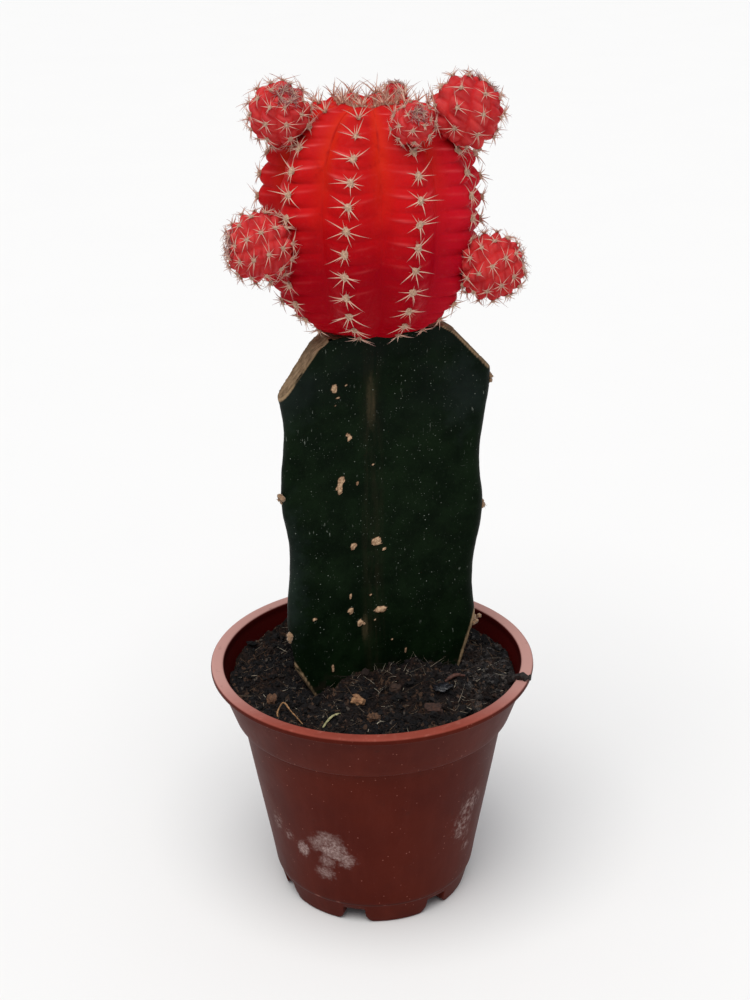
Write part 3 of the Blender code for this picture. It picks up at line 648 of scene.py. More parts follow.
def peatLook():
    look = Look("peat", Specular_IOR_Level=0.2)
    grain = look.noise(1.1, 6, 0.7)
    # the pale grain is bluish grey in some regions, a painted highlight on the peat clumps, and brown in
    # others
    region = look.noise(13, 3, 0.5).over(0.42, 0.6)
    pale = look.mix(region, srgb(34, 35, 38), srgb(54, 36, 27))
    colour = look.mix(grain.over(0.35, 0.72), srgb(9, 7, 7), pale)
    colour = look.blotch(colour, srgb(62, 43, 33), 0.6, 2.6, 5, 0.55, 0.75, 0.65)
    chips = look.cells(0.9, output="Color")
    value = look.node("ShaderNodeSeparateColor", None, {0: chips}, 0)
    colour = look.mix(value.over(0.86, 0.9) * 0.6, colour, srgb(96, 72, 56))
    colour = look.mix(value.over(0.05, 0.0) * 0.5, colour, srgb(120, 110, 100))
    bumps = [(look.noise(0.8, 6, 0.75), 0.5), (look.cells(0.5), 0.25)]
    return look.finish(dryPatch(look, colour), 0.95, bumps)


def crumbLook():
    # "tone" runs from black peat through brown to pale granules
    look = Look("peatCrumb", Specular_IOR_Level=0.25)
    stops = [(0.0, srgb(9, 9, 11)), (0.55, srgb(24, 20, 20)), (0.82, srgb(54, 37, 28))]
    colour = look.ramp(look.number("tone"), stops + [(1.0, srgb(160, 128, 96))])
    colour = look.blotch(colour, srgb(10, 8, 8), 0.5, 0.5, 4, 0.3, 0.75)
    return look.finish(dryPatch(look, colour), 0.85, [(look.noise(0.3, 4, 0.7), 0.15)])


def fibreLook():
    look = Look("peatFibre", Specular_IOR_Level=0.3)
    stops = [(0.0, srgb(14, 12, 12)), (0.6, srgb(46, 36, 30)), (0.86, srgb(96, 74, 54))]
    colour = look.ramp(look.number("tone"), stops + [(1.0, srgb(200, 190, 170))])
    colour = look.blotch(colour, srgb(30, 20, 16), 0.35, 1.2, 3, 0.4, 0.7)
    return look.finish(colour, 0.75, [(look.noise(0.4, 3), 0.05)])


def onMix(count, reach=0.97):
    # random spots on the mix, none inside the rootstock
    brim = potInnerRadius(mixLevel()) - 1.0
    spots = np.zeros((0, 2))
    while len(spots) < count:
        turn = draw.uniform(0, 2 * math.pi, count)
        radius = brim * reach * np.sqrt(draw.uniform(0, 1, count))
        found = polar(radius, turn, 0.0)[:, :2]
        spots = np.concatenate([spots, found[outsideStem(found)]])
    return spots[:count]


def randomFrames(count, tilt=1.0):
    # random turned axes, as rows: right, ahead and up
    up = unit(np.array([0, 0, 1.0]) + tilt * draw.normal(0, 0.5, (count, 3)))
    right = unit(np.cross(up, draw.normal(0, 1, (count, 3))))
    return np.stack([right, np.cross(up, right), up], 1)


def lumpyBalls(count, splits, rough, flat=(1, 1, 1)):
    # a ball per piece, each point moved in or out at random and the whole flattened
    points, faces = icoBall(splits)
    shapes = points[None] * (1 + rough * draw.uniform(-1, 1, (count, len(points), 1)))
    return shapes * np.array(flat), faces


def makeCrumbs():
    m = mix
    for name, count, low, high, splits in m["grains"]:
        spots = onMix(count)
        sizes = low + (high - low) * draw.uniform(0, 1, count) ** 2.6
        z = mixHeight(spots[:, 0], spots[:, 1]) + sizes * 0.3
        shapes, faces = lumpyBalls(count, splits, m["grainRoughness"], m["grainShape"])
        tone = draw.uniform(0, 1, count) ** 1.7 * 0.8 + 0.2 * (draw.uniform(0, 1, count) > 0.985)
        piece = scatter(name, shapes, [faces], np.c_[spots, z], randomFrames(count, 1.4), sizes[:, None],
                        {"tone": tone[:, None]}, smooth=False)
        place(piece, crumbLook(), "peat")
    count = m["fibres"]
    spots = onMix(count)
    turn = draw.uniform(0, 2 * math.pi, count)
    ways = np.stack([np.cos(turn), np.sin(turn), draw.normal(0.12, 0.22, count)], -1)
    bends = draw.normal(0, 0.28, (count, 3)) * (1, 1, 0.4)
    lengths = m["shortestFibre"] + m["fibreSpread"] * draw.uniform(0, 1, count) ** 2.2
    ends = spots + (ways + bends)[:, :2] * lengths[:, None]
    inside = (np.hypot(*ends.T) < potInnerRadius(61) - 0.6) & outsideStem(ends)
    roots = np.c_[spots, mixHeight(spots[:, 0], spots[:, 1]) + 0.1]
    tone = draw.uniform(0, 1, count) ** 2.0
    piece = hairs("peatFibres", roots[inside], unit(ways)[inside], lengths[inside],
                  draw.uniform(0.04, 0.13, count)[inside], bends[inside], 3, 5, {"tone": tone[inside]})
    place(piece, fibreLook(), "peat")
    # pale fine roots along the foot of the rootstock
    count = m["rootHairs"]
    x = draw.uniform(-12, 21, count)
    y = stemFront(x) - 0.4 - 9.0 * draw.uniform(0, 1, count) ** 1.6
    roots = np.stack([x, y, mixHeight(x, y) - 0.2], -1)
    ways = unit(np.stack([draw.normal(0, 0.5, count), draw.normal(-0.1, 0.3, count),
                          draw.uniform(0.15, 1.0, count)], -1))
    piece = hairs("rootHairs", roots, ways, draw.uniform(0.9, 3.2, count), draw.uniform(0.04, 0.085, count),
                  draw.normal(0, 0.12, (count, 3)), 3, 5, {"tone": draw.uniform(0.9, 1.0, count)})
    place(piece, fibreLook(), "peat")
    print("crumbs and fibres made")


# Rootstock

stem = {
    "axis": (3.6, 0.5), "edge": 2.8, "flare": 1.2, "scallop": 0.75, "scallopPitch": 34.0,
    "rows": 268, "sideColumns": 86, "edgeColumns": 13, "hiddenScars": 9, "corksInTuft": 12, "hairsInTuft": 8,
    # one entry per wing: the way it points, its reach low and high, its shoulder, one areole, its reach
    # at the top and at the buried end, where its lower cut starts, the hollow of the side after it, and
    # how far each cut is swung round from square
    "wings": [
        {"turn": 9, "low": 22.6, "high": 26.2, "shoulder": 85.2, "areole": 46.5, "top": 15.6, "end": 12.5,
         "foot": 11.0, "hollow": 0.74, "upperSwing": 3, "lowerSwing": -14, "tufts": (14.3, 46.8, 81.6)},
        {"turn": 107, "low": 25.0, "high": 27.0, "shoulder": 83.5, "areole": 36.0, "top": 16.5, "end": 12.0,
         "foot": 9.0, "hollow": 0.74, "upperSwing": 6, "lowerSwing": 0, "tufts": (11.0, 36.5, 72.0)},
        {"turn": 208, "low": 26.8, "high": 28.3, "shoulder": 83.2, "areole": 57.0, "top": 17.2, "end": 9.5,
         "foot": 9.5, "hollow": 0.64, "upperSwing": -14, "lowerSwing": -4, "tufts": (18.1, 57.0)},
    ],
    # corky scars on the front side: x, z and half-sizes across and up
    "scars": [(-8.2, 146.0, 0.75, 1.15), (-5.5, 146.3, 0.3, 0.35), (-7.5, 143.6, 0.3, 0.35),
              (-8.4, 142.3, 0.2, 0.2), (-7.9, 141.5, 0.3, 0.35), (-4.9, 132.6, 0.4, 0.9),
              (-5.4, 133.4, 0.25, 0.4), (0.8, 124.5, 0.25, 0.4), (-7.0, 121.7, 0.85, 1.0),
              (-7.4, 119.9, 0.65, 2.1), (-3.1, 120.1, 0.45, 0.5), (-20.5, 126.5, 0.3, 0.3),
              (-5.2, 89.1, 0.25, 0.9), (0.0, 88.5, 0.3, 0.3), (-5.1, 85.0, 0.8, 0.95),
              (2.5, 83.9, 1.5, 0.85), (3.4, 100.9, 0.5, 0.4), (-2.9, 81.1, 0.75, 0.95),
              (0.9, 81.1, 0.25, 0.2), (-14.3, 84.7, 0.5, 0.25), (-1.8, 80.6, 0.4, 0.35),
              (-10.1, 69.7, 0.28, 1.3), (5.2, 74.4, 0.2, 0.2), (8.7, 71.0, 0.12, 1.1),
              (9.5, 132.6, 0.2, 0.25), (5.9, 117.1, 0.2, 0.2), (-4.3, 103.2, 0.9, 1.0),
              (1.4, 103.4, 1.5, 1.2)],
}


def stemLevels():
    # heights of the buried end, the top and the mix
    low, high = box("rootstock")
    return low[2], high[2], mixLevel()


def wingReach(w, above):
    # how far a wing's edge stands from the axis: a straight taper plus a cosine scallop between areoles
    reach = w["low"] + above / w["shoulder"] * (w["high"] - w["low"])
    return reach + stem["scallop"] * np.cos(2 * math.pi * (above - w["areole"]) / stem["scallopPitch"])


def stemRings(heights):
    # at each height: three round wing edges joined by Bezier sides; what lies past a wing's slanting
    # cuts is drawn back along the wing onto the cut's plane. Returns points and depth past the nearest cut
    s = stem
    end, top, level = stemLevels()
    h = heights[:, None]
    data = []
    for w in s["wings"]:
        a = math.radians(w["turn"])
        out = np.array([math.cos(a), math.sin(a)])
        data.append((w, out, np.array([-out[1], out[0]]), wingReach(w, h - level)))
    parts = []
    for i, (w, out, across, reach) in enumerate(data):
        _, nextOut, nextAcross, nextReach = data[(i + 1) % 3]
        a = np.radians(np.linspace(-90, 90, s["edgeColumns"]))[:, None]
        edge = (reach - s["edge"])[..., None] * out + s["edge"] * (np.cos(a) * out + np.sin(a) * across)
        start = (reach - s["edge"]) * out + s["edge"] * across
        stop = (nextReach - s["edge"]) * nextOut - s["edge"] * nextAcross
        startHandle = start - out * reach * w["hollow"] + across * s["flare"]
        stopHandle = stop - nextOut * nextReach * w["hollow"] - nextAcross * s["flare"]
        t = np.linspace(0, 1, s["sideColumns"] + 2)[1:-1, None]
        side = (start[:, None] * (1 - t) ** 3 + startHandle[:, None] * 3 * t * (1 - t) ** 2
                + stopHandle[:, None] * 3 * t**2 * (1 - t) + stop[:, None] * t**3)
        parts += [edge, side]
    flat = np.concatenate(parts, 1)
    cut = np.full(flat.shape[:2], -9.0)
    for w, out, across, _ in data:
        climbed = (h - level - w["shoulder"]) / (top - level - w["shoulder"])
        upper = w["high"] + climbed * (w["top"] - w["high"]) - 1.3 * smoothStep(top - 2.6, top, h)
        lower = w["low"] + (level + w["foot"] - h) / (level + w["foot"] - end) * (w["end"] - w["low"])
        for limit, slope, swing in ((upper, 0.75, w["upperSwing"]), (lower, 0.95, w["lowerSwing"])):
            way = math.cos(math.radians(swing)) * out + math.sin(math.radians(swing)) * across
            past = flat @ way - limit * math.cos(math.radians(swing))
            cut = np.maximum(cut, past * slope)
            flat = flat - np.maximum(past, 0)[..., None] * way
    heights = np.broadcast_to(h[..., None], (*flat.shape[:2], 1))
    return np.concatenate([flat + np.array(s["axis"]), heights], -1), cut


def stemOutline(above):
    # the rootstock's outline at a height above the mix, as x and y
    return stemRings(np.array([mixLevel() + above]))[0][0, :, :2]


def outsideStem(spots, gap=0.25):
    # true where a spot lies outside the rootstock's outline, by counting the edges crossed to its
    # right, and further from it than the gap
    outline = stemOutline(2.0)
    a = np.roll(outline, -1, 0) - outline
    x, y = spots[:, :1], spots[:, 1:]
    over = (outline[:, 1] > y) != (np.roll(outline, -1, 0)[:, 1] > y)
    crossing = outline[:, 0] + a[:, 0] * (y - outline[:, 1]) / np.where(a[:, 1] == 0, 1e-9, a[:, 1])
    inside = ((crossing > x) & over).sum(1) % 2 == 1
    near = np.sqrt(((spots[:, None] - outline[None]) ** 2).sum(-1)).min(1) < gap
    return ~(inside | near)


def stemFront(x):
    # the y of the rootstock's front side at the mix, for each x
    outline = stemOutline(3.0)
    front = outline[outline[:, 1] < stem["axis"][1] + 1.5]
    front = front[np.argsort(front[:, 0])]
    return np.interp(x, front[:, 0], front[:, 1])


def makeStem():
    s = stem
    end, top, level = stemLevels()
    heights = np.concatenate([np.linspace(end, level - 2, 8)[:-1], np.linspace(level - 2, top, s["rows"])])
    rings, cut = stemRings(heights)
    normal = gridNormals(rings)
    p = rings
    onCut = smoothStep(-0.06, 0.16, cut)
    lip = bell(cut + 0.35, 0.5)
    # skin: broad soft dents, fine wrinkles, a raised callus beside each cut and fibres across it
    skin = 0.22 * roughNoise(p, 9, 2, 3) + 0.07 * roughNoise(p * (1, 1, 0.55), 1.6, 3, 9)
    fibre = 0.10 * roughNoise(p * (1, 1, 0.18), 0.7, 3, 21)
    scars = np.zeros(cut.shape)
    front = normal[..., 1] < -0.25
    spots = [(*spot, front, p[..., 0]) for spot in s["scars"]]
    for side in (1, -1):
        faced = (normal[..., 0] * side > 0.3) & (normal[..., 1] > 0.05)
        for _ in range(s["hiddenScars"]):
            y, z = draw.uniform(-14, 15), draw.uniform(72, 148)
            spots.append((y, z, *draw.uniform(0.35, 1.3, 2), faced, p[..., 1]))
    for middle, z, wide, tall, faced, across in spots:
        away = np.hypot((across - middle) / wide, (p[..., 2] - z) / tall)
        away = away + 0.35 * roughNoise(p, 0.9, 3, 31)
        scars = np.maximum(scars, (1 - smoothStep(0.65, 1.15, away)) * faced * (1 - onCut))
    bulge = 0.45 * scars * (0.8 + 0.5 * roughNoise(p, 0.5, 2, 41))
    raised = skin * (1 - onCut) + 0.14 * lip * (0.7 + 0.5 * roughNoise(p, 2.4, 2, 51)) + bulge + fibre * onCut
    fade = smoothStep(top, top - 1.0, p[..., 2])[..., None]
    rings = rings + normal * raised[..., None] * fade
    # the top was sliced flat, and its middle has dried in a little
    middle = np.array([*s["axis"], top])
    caps = []
    for share in (0.985, 0.93, 0.8, 0.6, 0.35, 0.12):
        ring = middle + (rings[-1] - middle) * share
        ring[:, 2] = top - 0.25 * smoothStep(0.93, 0.3, share)
        caps.append(ring)
    rings = np.concatenate([rings, np.array(caps)])
    blank = np.zeros((len(caps), rings.shape[1]))
    numbers = {
        "cut": np.concatenate([onCut, blank + 1.0]),
        "lip": np.concatenate([lip, blank]),
        "scar": np.concatenate([scars, blank]),
    }
    piece = shell("rootstockStem", rings, (*s["axis"], end), (*s["axis"], top - 0.25), numbers)
    place(piece, stemLook(level, top), "rootstock_skin", "rootstock")
    print("rootstock made", len(piece.data.polygons))
    makeTufts(level)


skinFinish = {
    "dark": srgb(4, 15, 4), "green": srgb(13, 27, 11), "fleck": srgb(26, 42, 24),
    "topSheen": srgb(22, 28, 26), "band": srgb(40, 36, 24), "strip": srgb(70, 62, 44),
    "sheen": srgb(40, 48, 48), "dust": srgb(150, 158, 146),
    # dull strips along the front, and greyish sheens painted into the skin as soft reflections: middle, and
    # half-size along each axis
    "strips": [((-1.7, -7, 79.2), (1.1, 8, 5.2)), ((0.6, -6, 141), (1.5, 8, 9))],
    "sheens": [((-20, -13, 146), (9, 12, 14)), ((24, 0, 142), (8, 12, 16)), ((-20, -13, 98), (6, 12, 26))],
    "scarRim": srgb(34, 26, 16), "cork": srgb(136, 102, 78), "paleCork": srgb(208, 174, 140),
    "wood": srgb(104, 84, 62), "paleWood": srgb(158, 134, 106), "woodStain": srgb(92, 74, 60),
    "callus": srgb(176, 146, 112), "soiled": srgb(34, 26, 22),
}


def stemLook(level, top):
    f = skinFinish
    look = Look("rootstockSkin", Specular_IOR_Level=0.05, IOR=1.42)
    z = look.split("Z")
    x = look.split("X")
    mottled = look.noise(7, 5, 0.6)
    colour = look.mix(mottled.over(0.35, 0.7), f["dark"], f["green"])
    colour = look.blotch(colour, f["fleck"], 0.25, 1.0, 3, 0.5, 0.8)
    # a faint brown band down the middle of the front, and a painted grey sheen near the top
    band = 1 - ((x - 0.0006) * (x - 0.0006)).over(0.0, 1.1e-5)
    streaks = look.noise(2.0, 5, 0.7, look.squeeze(1, 1, 0.12)).over(0.35, 0.75)
    colour = look.mix(band * streaks * 0.5, colour, f["band"])
    for middle, sizes in f["strips"]:
        strip = 1 - look.near(*middle, sizes, 0.8).over(0.3, 1.0)
        colour = look.mix(strip * (0.3 + 0.5 * streaks), colour, f["strip"])
    # painted sheen: soft grey reflections painted on the left side and the upper right
    for middle, sizes in f["sheens"]:
        sheen = 1 - look.near(*middle, sizes, 1.5).over(0.0, 1.0)
        colour = look.mix(sheen * (0.2 + 0.3 * mottled), colour, f["sheen"])
    # painted sheen: the top of the stem is painted greyer, as a soft reflection
    topSheen = z.over((top - 34) * mm, (top - 2) * mm)
    colour = look.mix(topSheen * look.noise(11, 3).over(0.3, 0.7) * 0.5, colour, f["topSheen"])
    # white dust: round specks and short scuffs
    specks = (1 - look.cells(1.9).over(0.02, 0.1)) * look.noise(9, 3).over(0.34, 0.6)
    finer = (1 - look.cells(0.75).over(0.05, 0.14)) * look.noise(6, 4, 0.7).over(0.44, 0.62)
    scuffs = look.noise(0.7, 3, 0.6, look.squeeze(1, 1, 0.3)).over(0.66, 0.74)
    scuffs = scuffs * look.noise(8, 3).over(0.5, 0.62)
    colour = look.mix((specks * 0.7 + finer * 0.5 + scuffs * 0.4).clipped(), colour, f["dust"])
    scar = look.number("scar")
    corky = look.mix(look.noise(0.7, 4).over(0.3, 0.7), f["cork"], f["paleCork"])
    colour = look.mix(scar.over(0.02, 0.3) * 0.6, colour, f["scarRim"])
    colour = look.mix(scar.over(0.25, 0.65), colour, corky)
    # dried cut faces: tan wood with fibres, grey stains and a paler callus
    wood = look.noise(1.1, 5, 0.7, look.squeeze(1, 1, 0.13))
    tan = look.mix(wood.over(0.3, 0.72), f["wood"], f["paleWood"])
    tan = look.blotch(tan, f["woodStain"], 0.5, 5, 4, 0.5, 0.75)
    colour = look.mix(look.number("cut"), colour, tan)
    callus = look.number("lip").over(0.35, 0.95) * look.noise(3, 3).over(0.25, 0.55)
    colour = look.mix(callus * 0.75, colour, f["callus"])
    # peat dust at the foot
    foot = 1 - z.over(level * mm, (level + 9) * mm)
    colour = look.mix(foot * look.noise(2.2, 5).over(0.45, 0.62) * 0.75, colour, f["soiled"])
    dull = look.number("cut") * 0.35 + scar * 0.3
    rough = (0.42 + 0.16 * look.noise(5, 4) + dull).clipped()
    bumps = [(look.noise(3.2, 4), 0.16), (look.noise(0.5, 3, 0.6), 0.035), (wood * look.number("cut"), 0.25),
             (look.noise(0.4, 4) * scar, 0.2)]
    return look.finish(colour, rough, bumps)


def makeTufts(level):
    # corky cushions on the wing edges, each with a few short dry hairs
    places, outs = [], []
    for w in stem["wings"]:
        a = math.radians(w["turn"])
        for up in w["tufts"]:
            out = np.array([math.cos(a), math.sin(a), 0])
            places.append(np.array([*stem["axis"], level + up]) + out * (wingReach(w, up) - 0.1))
            outs.append(out)
    places, outs = np.array(places), np.array(outs)
    corks = stem["corksInTuft"]
    spread = np.repeat(places, corks, 0) + draw.normal(0, 0.45, (len(places) * corks, 3)) * (1, 1, 1.2)
    shapes, faces = lumpyBalls(len(spread), 1, 0.22)
    piece = scatter("stemCork", shapes, [faces], spread, randomFrames(len(spread), 2),
                    draw.uniform(0.4, 0.75, (len(spread), 1)), {"along": 0.2})
    place(piece, woolLook("corkWool", srgb(176, 142, 108), srgb(120, 92, 70)), "straw")
    roots = np.repeat(places, stem["hairsInTuft"], 0)
    count = len(roots)
    ways = unit(np.repeat(outs, stem["hairsInTuft"], 0) * 0.9 + draw.normal(0, 0.65, (count, 3)))
    piece = hairs("stemSpines", roots, ways, draw.uniform(0.8, 2.0, count), draw.uniform(0.05, 0.1, count),
                  draw.normal(0, 0.15, (count, 3)), 4, 5)
    place(piece, spineLook("dryTuft", srgb(168, 136, 106), srgb(96, 74, 60)), "straw")
    # one long hair that crosses the right shoulder
    root = places[2]
    piece = hairs("strayHair", root[None], unit(np.array([[-0.86, -0.25, -0.42]])), np.array([9.5]),
                  np.array([0.055]), np.array([[0.02, -0.05, -0.12]]), 4, 8)
    place(piece, spineLook("strayHair", srgb(160, 140, 118), srgb(120, 100, 84)), "straw")


# Globe

globe = {
    "rise": 27.4, "drop": 29.0, "square": 0.8, "baseRadius": 11.5, "radius": 25.7, "ribs": 10,
    "ribTurn": -65.0, "depth": 3.6, "dip": 3.5, "dipRadius": 5.5, "pitch": 5.35, "columns": 400,
    "rows": 232, "swing": 0.06, "swingLength": 11, "mostAreoles": 14, "bareCrown": 5.5,
    "tubercles": (0.27, 0.65, 0.8, 0.9, 0.9, 0.9, 0.9, 0.65, 0.7, 0.27), "chin": 0.25, "fold": 0.26,
    # how far the first areole of each rib lies from the graft, and where each rib's sway starts
    "starts": (4.3, 2.6, 3.9, 1.4, 4.9, 2.1, 3.3, 1.0, 4.7, 3.45),
    "sways": (0, 1.7, 3.4, 5.1, 6.8, 8.5, 10.2, 11.9, 13.6, 18.4),
}


def globeProfile(up):
    # a squarish ball: radius = R cos^0.8, height = rise sin^0.8, less a dip at the crown
    g = globe
    out = np.maximum(np.cos(up), 0) ** g["square"]
    lift = np.sign(up) * np.abs(np.sin(up)) ** g["square"]
    radius = g["radius"] * out
    dip = g["dip"] * np.exp(-((radius / g["dipRadius"]) ** 2)) * (up > 0)
    return radius, globeEquator() + np.where(up > 0, g["rise"], g["drop"]) * lift - dip


def globeBase():
    return -math.acos((globe["baseRadius"] / globe["radius"]) ** (1 / globe["square"]))


def globeEquator():
    return box("scion_globe")[0][2] + globe["drop"] * math.sin(-globeBase()) ** globe["square"]


def globeCentre():
    low, high = box("scion_globe")
    return np.array([(low[0] + high[0]) / 2, 0.0])


def meridian(count=3000):
    # points up the profile: their angle, the length walked from the graft, radius and height
    ups = np.linspace(globeBase(), math.pi / 2, count)
    radius, height = globeProfile(ups)
    length = np.concatenate([[0], np.cumsum(np.hypot(np.diff(radius), np.diff(height)))])
    return ups, length, radius, height


def ribSway(s, start):
    # how far a rib wanders to one side, in ribs, at the length s: swing * sin(s / swingLength + start)
    return globe["swing"] * np.sin(s / globe["swingLength"] + start)


def globeSurface(up, turn):
    # c runs from 0 on a rib's crest to 1 in the furrow, where the radius has dropped by depth times a
    # blend of sin(c pi/2)^2 and 1 - cos(c pi/2); v runs from -0.5 to 0.5 round each areole, where a
    # tubercle swells, with a chin under it, thin level folds beside it and a soft crease
    g = globe
    radius, height = globeProfile(up)
    ups, length, _, _ = meridian(1500)
    s = np.interp(up, ups, length)
    part = (turn - math.radians(g["ribTurn"])) * g["ribs"] / (2 * math.pi)
    rib = np.round(part)
    which = np.mod(rib, g["ribs"]).astype(int)
    c = np.abs(part - rib) * 2
    c = np.abs(part - rib + ribSway(s, np.array(g["sways"])[which]) * (1 - c)) * 2
    v = (s - np.array(g["starts"])[which]) / g["pitch"]
    v = v - np.round(v)
    girth = np.clip(radius / g["radius"], 0, 1)
    high = smoothStep(globeEquator() - 22, globeEquator() + 12, height)
    lowSmooth = 0.45 + 0.55 * high
    smooth = polar(radius, turn, height)
    wobble = roughNoise(smooth, 7, 2, 61)
    fine = roughNoise(smooth, 1.5, 3, 71)
    crest = 1 - c
    sharp = 1 - np.clip(np.cos(c * math.pi / 2), 0, 1)
    soft = np.sin(c * math.pi / 2) ** 2
    creased = 0.25 + 0.55 * high * (0.6 + 0.8 * wobble)
    furrow = g["depth"] * girth * (soft + (sharp - soft) * np.clip(creased, 0, 1))
    knob = 2 * np.cos(math.pi * v) ** 0.7 - 1
    swell = np.array(g["tubercles"])[which] * knob * crest**0.9 * girth
    chin = g["chin"] * bell(v + 0.24, 0.16) * bell(c, 0.45) * girth
    seam = -0.14 * bell(np.abs(v) - 0.5, 0.06) * bell(c - 0.1, 0.5) * girth * lowSmooth
    tilt = v - 0.12 - 0.14 * c
    fold = g["fold"] * bell(tilt, 0.05) * bell(c - 0.38, 0.30) * lowSmooth
    fold = fold * np.clip(0.7 + 0.9 * wobble, 0, 1.4)
    crease = -0.10 * bell(c - 0.5, 0.08) * high * (0.6 + wobble)
    reach = radius - furrow + (swell + chin + seam + fold + crease) * smoothStep(0.05, 0.3, girth)
    reach = np.maximum(reach + girth * (0.28 * wobble + 0.05 * fine), 0.02)
    # tubercles on the crown stand up instead of out
    standing = 1.1 * np.cos(2 * math.pi * v) * crest - 0.9 * (1 - crest)
    standing = (1 - girth) ** 2 * standing * smoothStep(0.02, 0.2, girth) * (up > 0.6)
    points = polar(reach, turn, height + standing) + (*globeCentre(), 0)
    return points, {"furrow": c, "fold": np.clip(fold / g["fold"], 0, 1)}


def makeGlobe():
    g = globe
    # rings evenly spaced along the meridian
    ups, length, _, _ = meridian()
    ups = np.interp(np.linspace(0, length[-1] - 0.25, g["rows"]), length, ups)
    turns = np.linspace(0, 2 * math.pi, g["columns"], endpoint=False) + math.radians(g["ribTurn"])
    up, turn = np.meshgrid(ups, turns, indexing="ij")
    rings, numbers = globeSurface(up, turn)
    x, y = globeCentre()
    south = (x, y, rings[0, :, 2].mean())
    north = (x, y, rings[-1, :, 2].mean() - 0.02)
    piece = shell("scionGlobe", rings, south, north, numbers)
    place(piece, fleshLook("globeFlesh", True), "globe_flesh", "scion_globe")
    print("globe made", len(piece.data.polygons))


fleshTones = {
    "top": srgb(188, 26, 26), "middle": srgb(194, 18, 22), "low": srgb(156, 0, 16), "glow": srgb(206, 46, 14),
    "pale": srgb(222, 92, 92), "shade": srgb(150, 4, 16), "side": srgb(206, 22, 48),
    "pup": srgb(198, 58, 56), "pupDark": srgb(172, 36, 42),
}


def fleshLook(name, big):
    f = fleshTones
    look = Look(name, Subsurface_Weight=0.3, Subsurface_Radius=(1.0, 0.16, 0.09), Subsurface_Scale=0.0022,
                Specular_IOR_Level=0.04)
    mottle = look.noise(4.5, 4, 0.6)
    if big:
        # -1 at the foot of the globe, 1 at its top
        rise = (look.split("Z") - globeEquator() * mm) * (1 / 0.0275) + (mottle - 0.5) * 0.45
        # painted shade: the colour deepens to crimson towards the foot, as under a light from above
        stops = [(0.0, f["low"]), (0.34, f["low"]), (0.62, f["middle"]), (0.9, f["top"])]
        colour = look.ramp(rise * 0.5 + 0.5, stops)
        furrow = look.number("furrow")
        # painted light: an orange glow painted in the furrows of the lit upper half, and a painted shade line
        # down their middle
        lit = rise.over(-0.1, 0.75)
        colour = look.mix(furrow.over(0.45, 1.0) * lit * 0.55, colour, f["glow"])
        shaded = furrow.over(0.9, 1.0) * lit * look.noise(6, 3).over(0.35, 0.6)
        colour = look.mix(shaded * 0.6, colour, f["shade"])
        # painted highlight: pale lines on the folds, stronger on the lit upper half
        colour = look.mix(look.number("fold") * (0.3 + 0.5 * lit).clipped(), colour, f["pale"])
        colour = look.mix(look.split("X").over(5 * mm, 26 * mm) * 0.5, colour, f["side"])
    else:
        colour = look.mix(mottle.over(0.3, 0.7), f["pupDark"], f["pup"])
        # painted shade in the creases between tubercles, and painted highlights on the folds
        colour = look.mix(look.number("furrow").over(0.5, 1.0) * 0.5, colour, f["middle"])
        colour = look.mix(look.number("fold") * 0.4, colour, f["pale"])
    colour = look.blotch(colour, f["pale"], 0.08 if big else 0.3, 1.4, 5, 0.52, 0.8, 0.65)
    colour = look.blotch(colour, f["shade"], 0.35, 2.4, 4, 0.56, 0.78)
    # papillae: the skin's own fine grain
    grain = look.cells(0.34, "SMOOTH_F1")
    rough = 0.46 + 0.14 * look.noise(3, 4)
    bumps = [(look.noise(1.8, 4, 0.6), 0.10), (grain, 0.03)]
    return look.finish(colour, rough, bumps)


# Spines and wool

spines = {
    # turn from straight up along the rib, share of the full length, lift off the surface
    "fan": [(62, 1.0, 0.55), (-62, 1.0, 0.55), (104, 0.95, 0.42), (-104, 0.95, 0.42), (24, 0.62, 0.9),
            (-30, 0.58, 0.95), (180, 0.72, 0.6), (146, 0.62, 0.5), (-140, 0.6, 0.6)],
    "globeLength": 4.9, "globeRadius": 0.15, "pupLength": 3.7, "pupRadius": 0.105, "jitter": 0.18,
    "wool": (0.8, 0.95, 0.6), "woolHairs": 24, "woolHairRadius": 0.055,
    "crownAreoles": 34, "crownRadius": 0.085, "pupCrownAreoles": 13,
}
spiralTurn = 2.4          # radians from one young areole to the next, near the golden angle


def spineLook(name, base, tip):
    look = Look(name, Specular_IOR_Level=0.4)
    along = look.number("along")
    colour = look.mix(along.over(0.35, 1.0), base, tip)
    colour = look.blotch(colour, srgb(214, 176, 150), 0.35, 1.1, 3, 0.4, 0.7)
    colour = look.mix((1 - along.over(0.0, 0.16)) * 0.5, colour, srgb(150, 96, 76))
    return look.finish(colour, 0.55, [(look.noise(0.3, 3, 0.6, look.squeeze(1, 1, 0.6)), 0.02)])


def woolLook(name, pale, dark):
    look = Look(name, Specular_IOR_Level=0.15, Sheen_Weight=0.3)
    tangle = look.noise(0.35, 5, 0.75)
    colour = look.mix(tangle.over(0.35, 0.7), dark, pale)
    colour = look.blotch(colour, tuple(c * 0.7 for c in pale), 0.35, 2.6, 3, 0.45, 0.75)
    return look.finish(colour, 0.95, [(tangle, 0.2)])


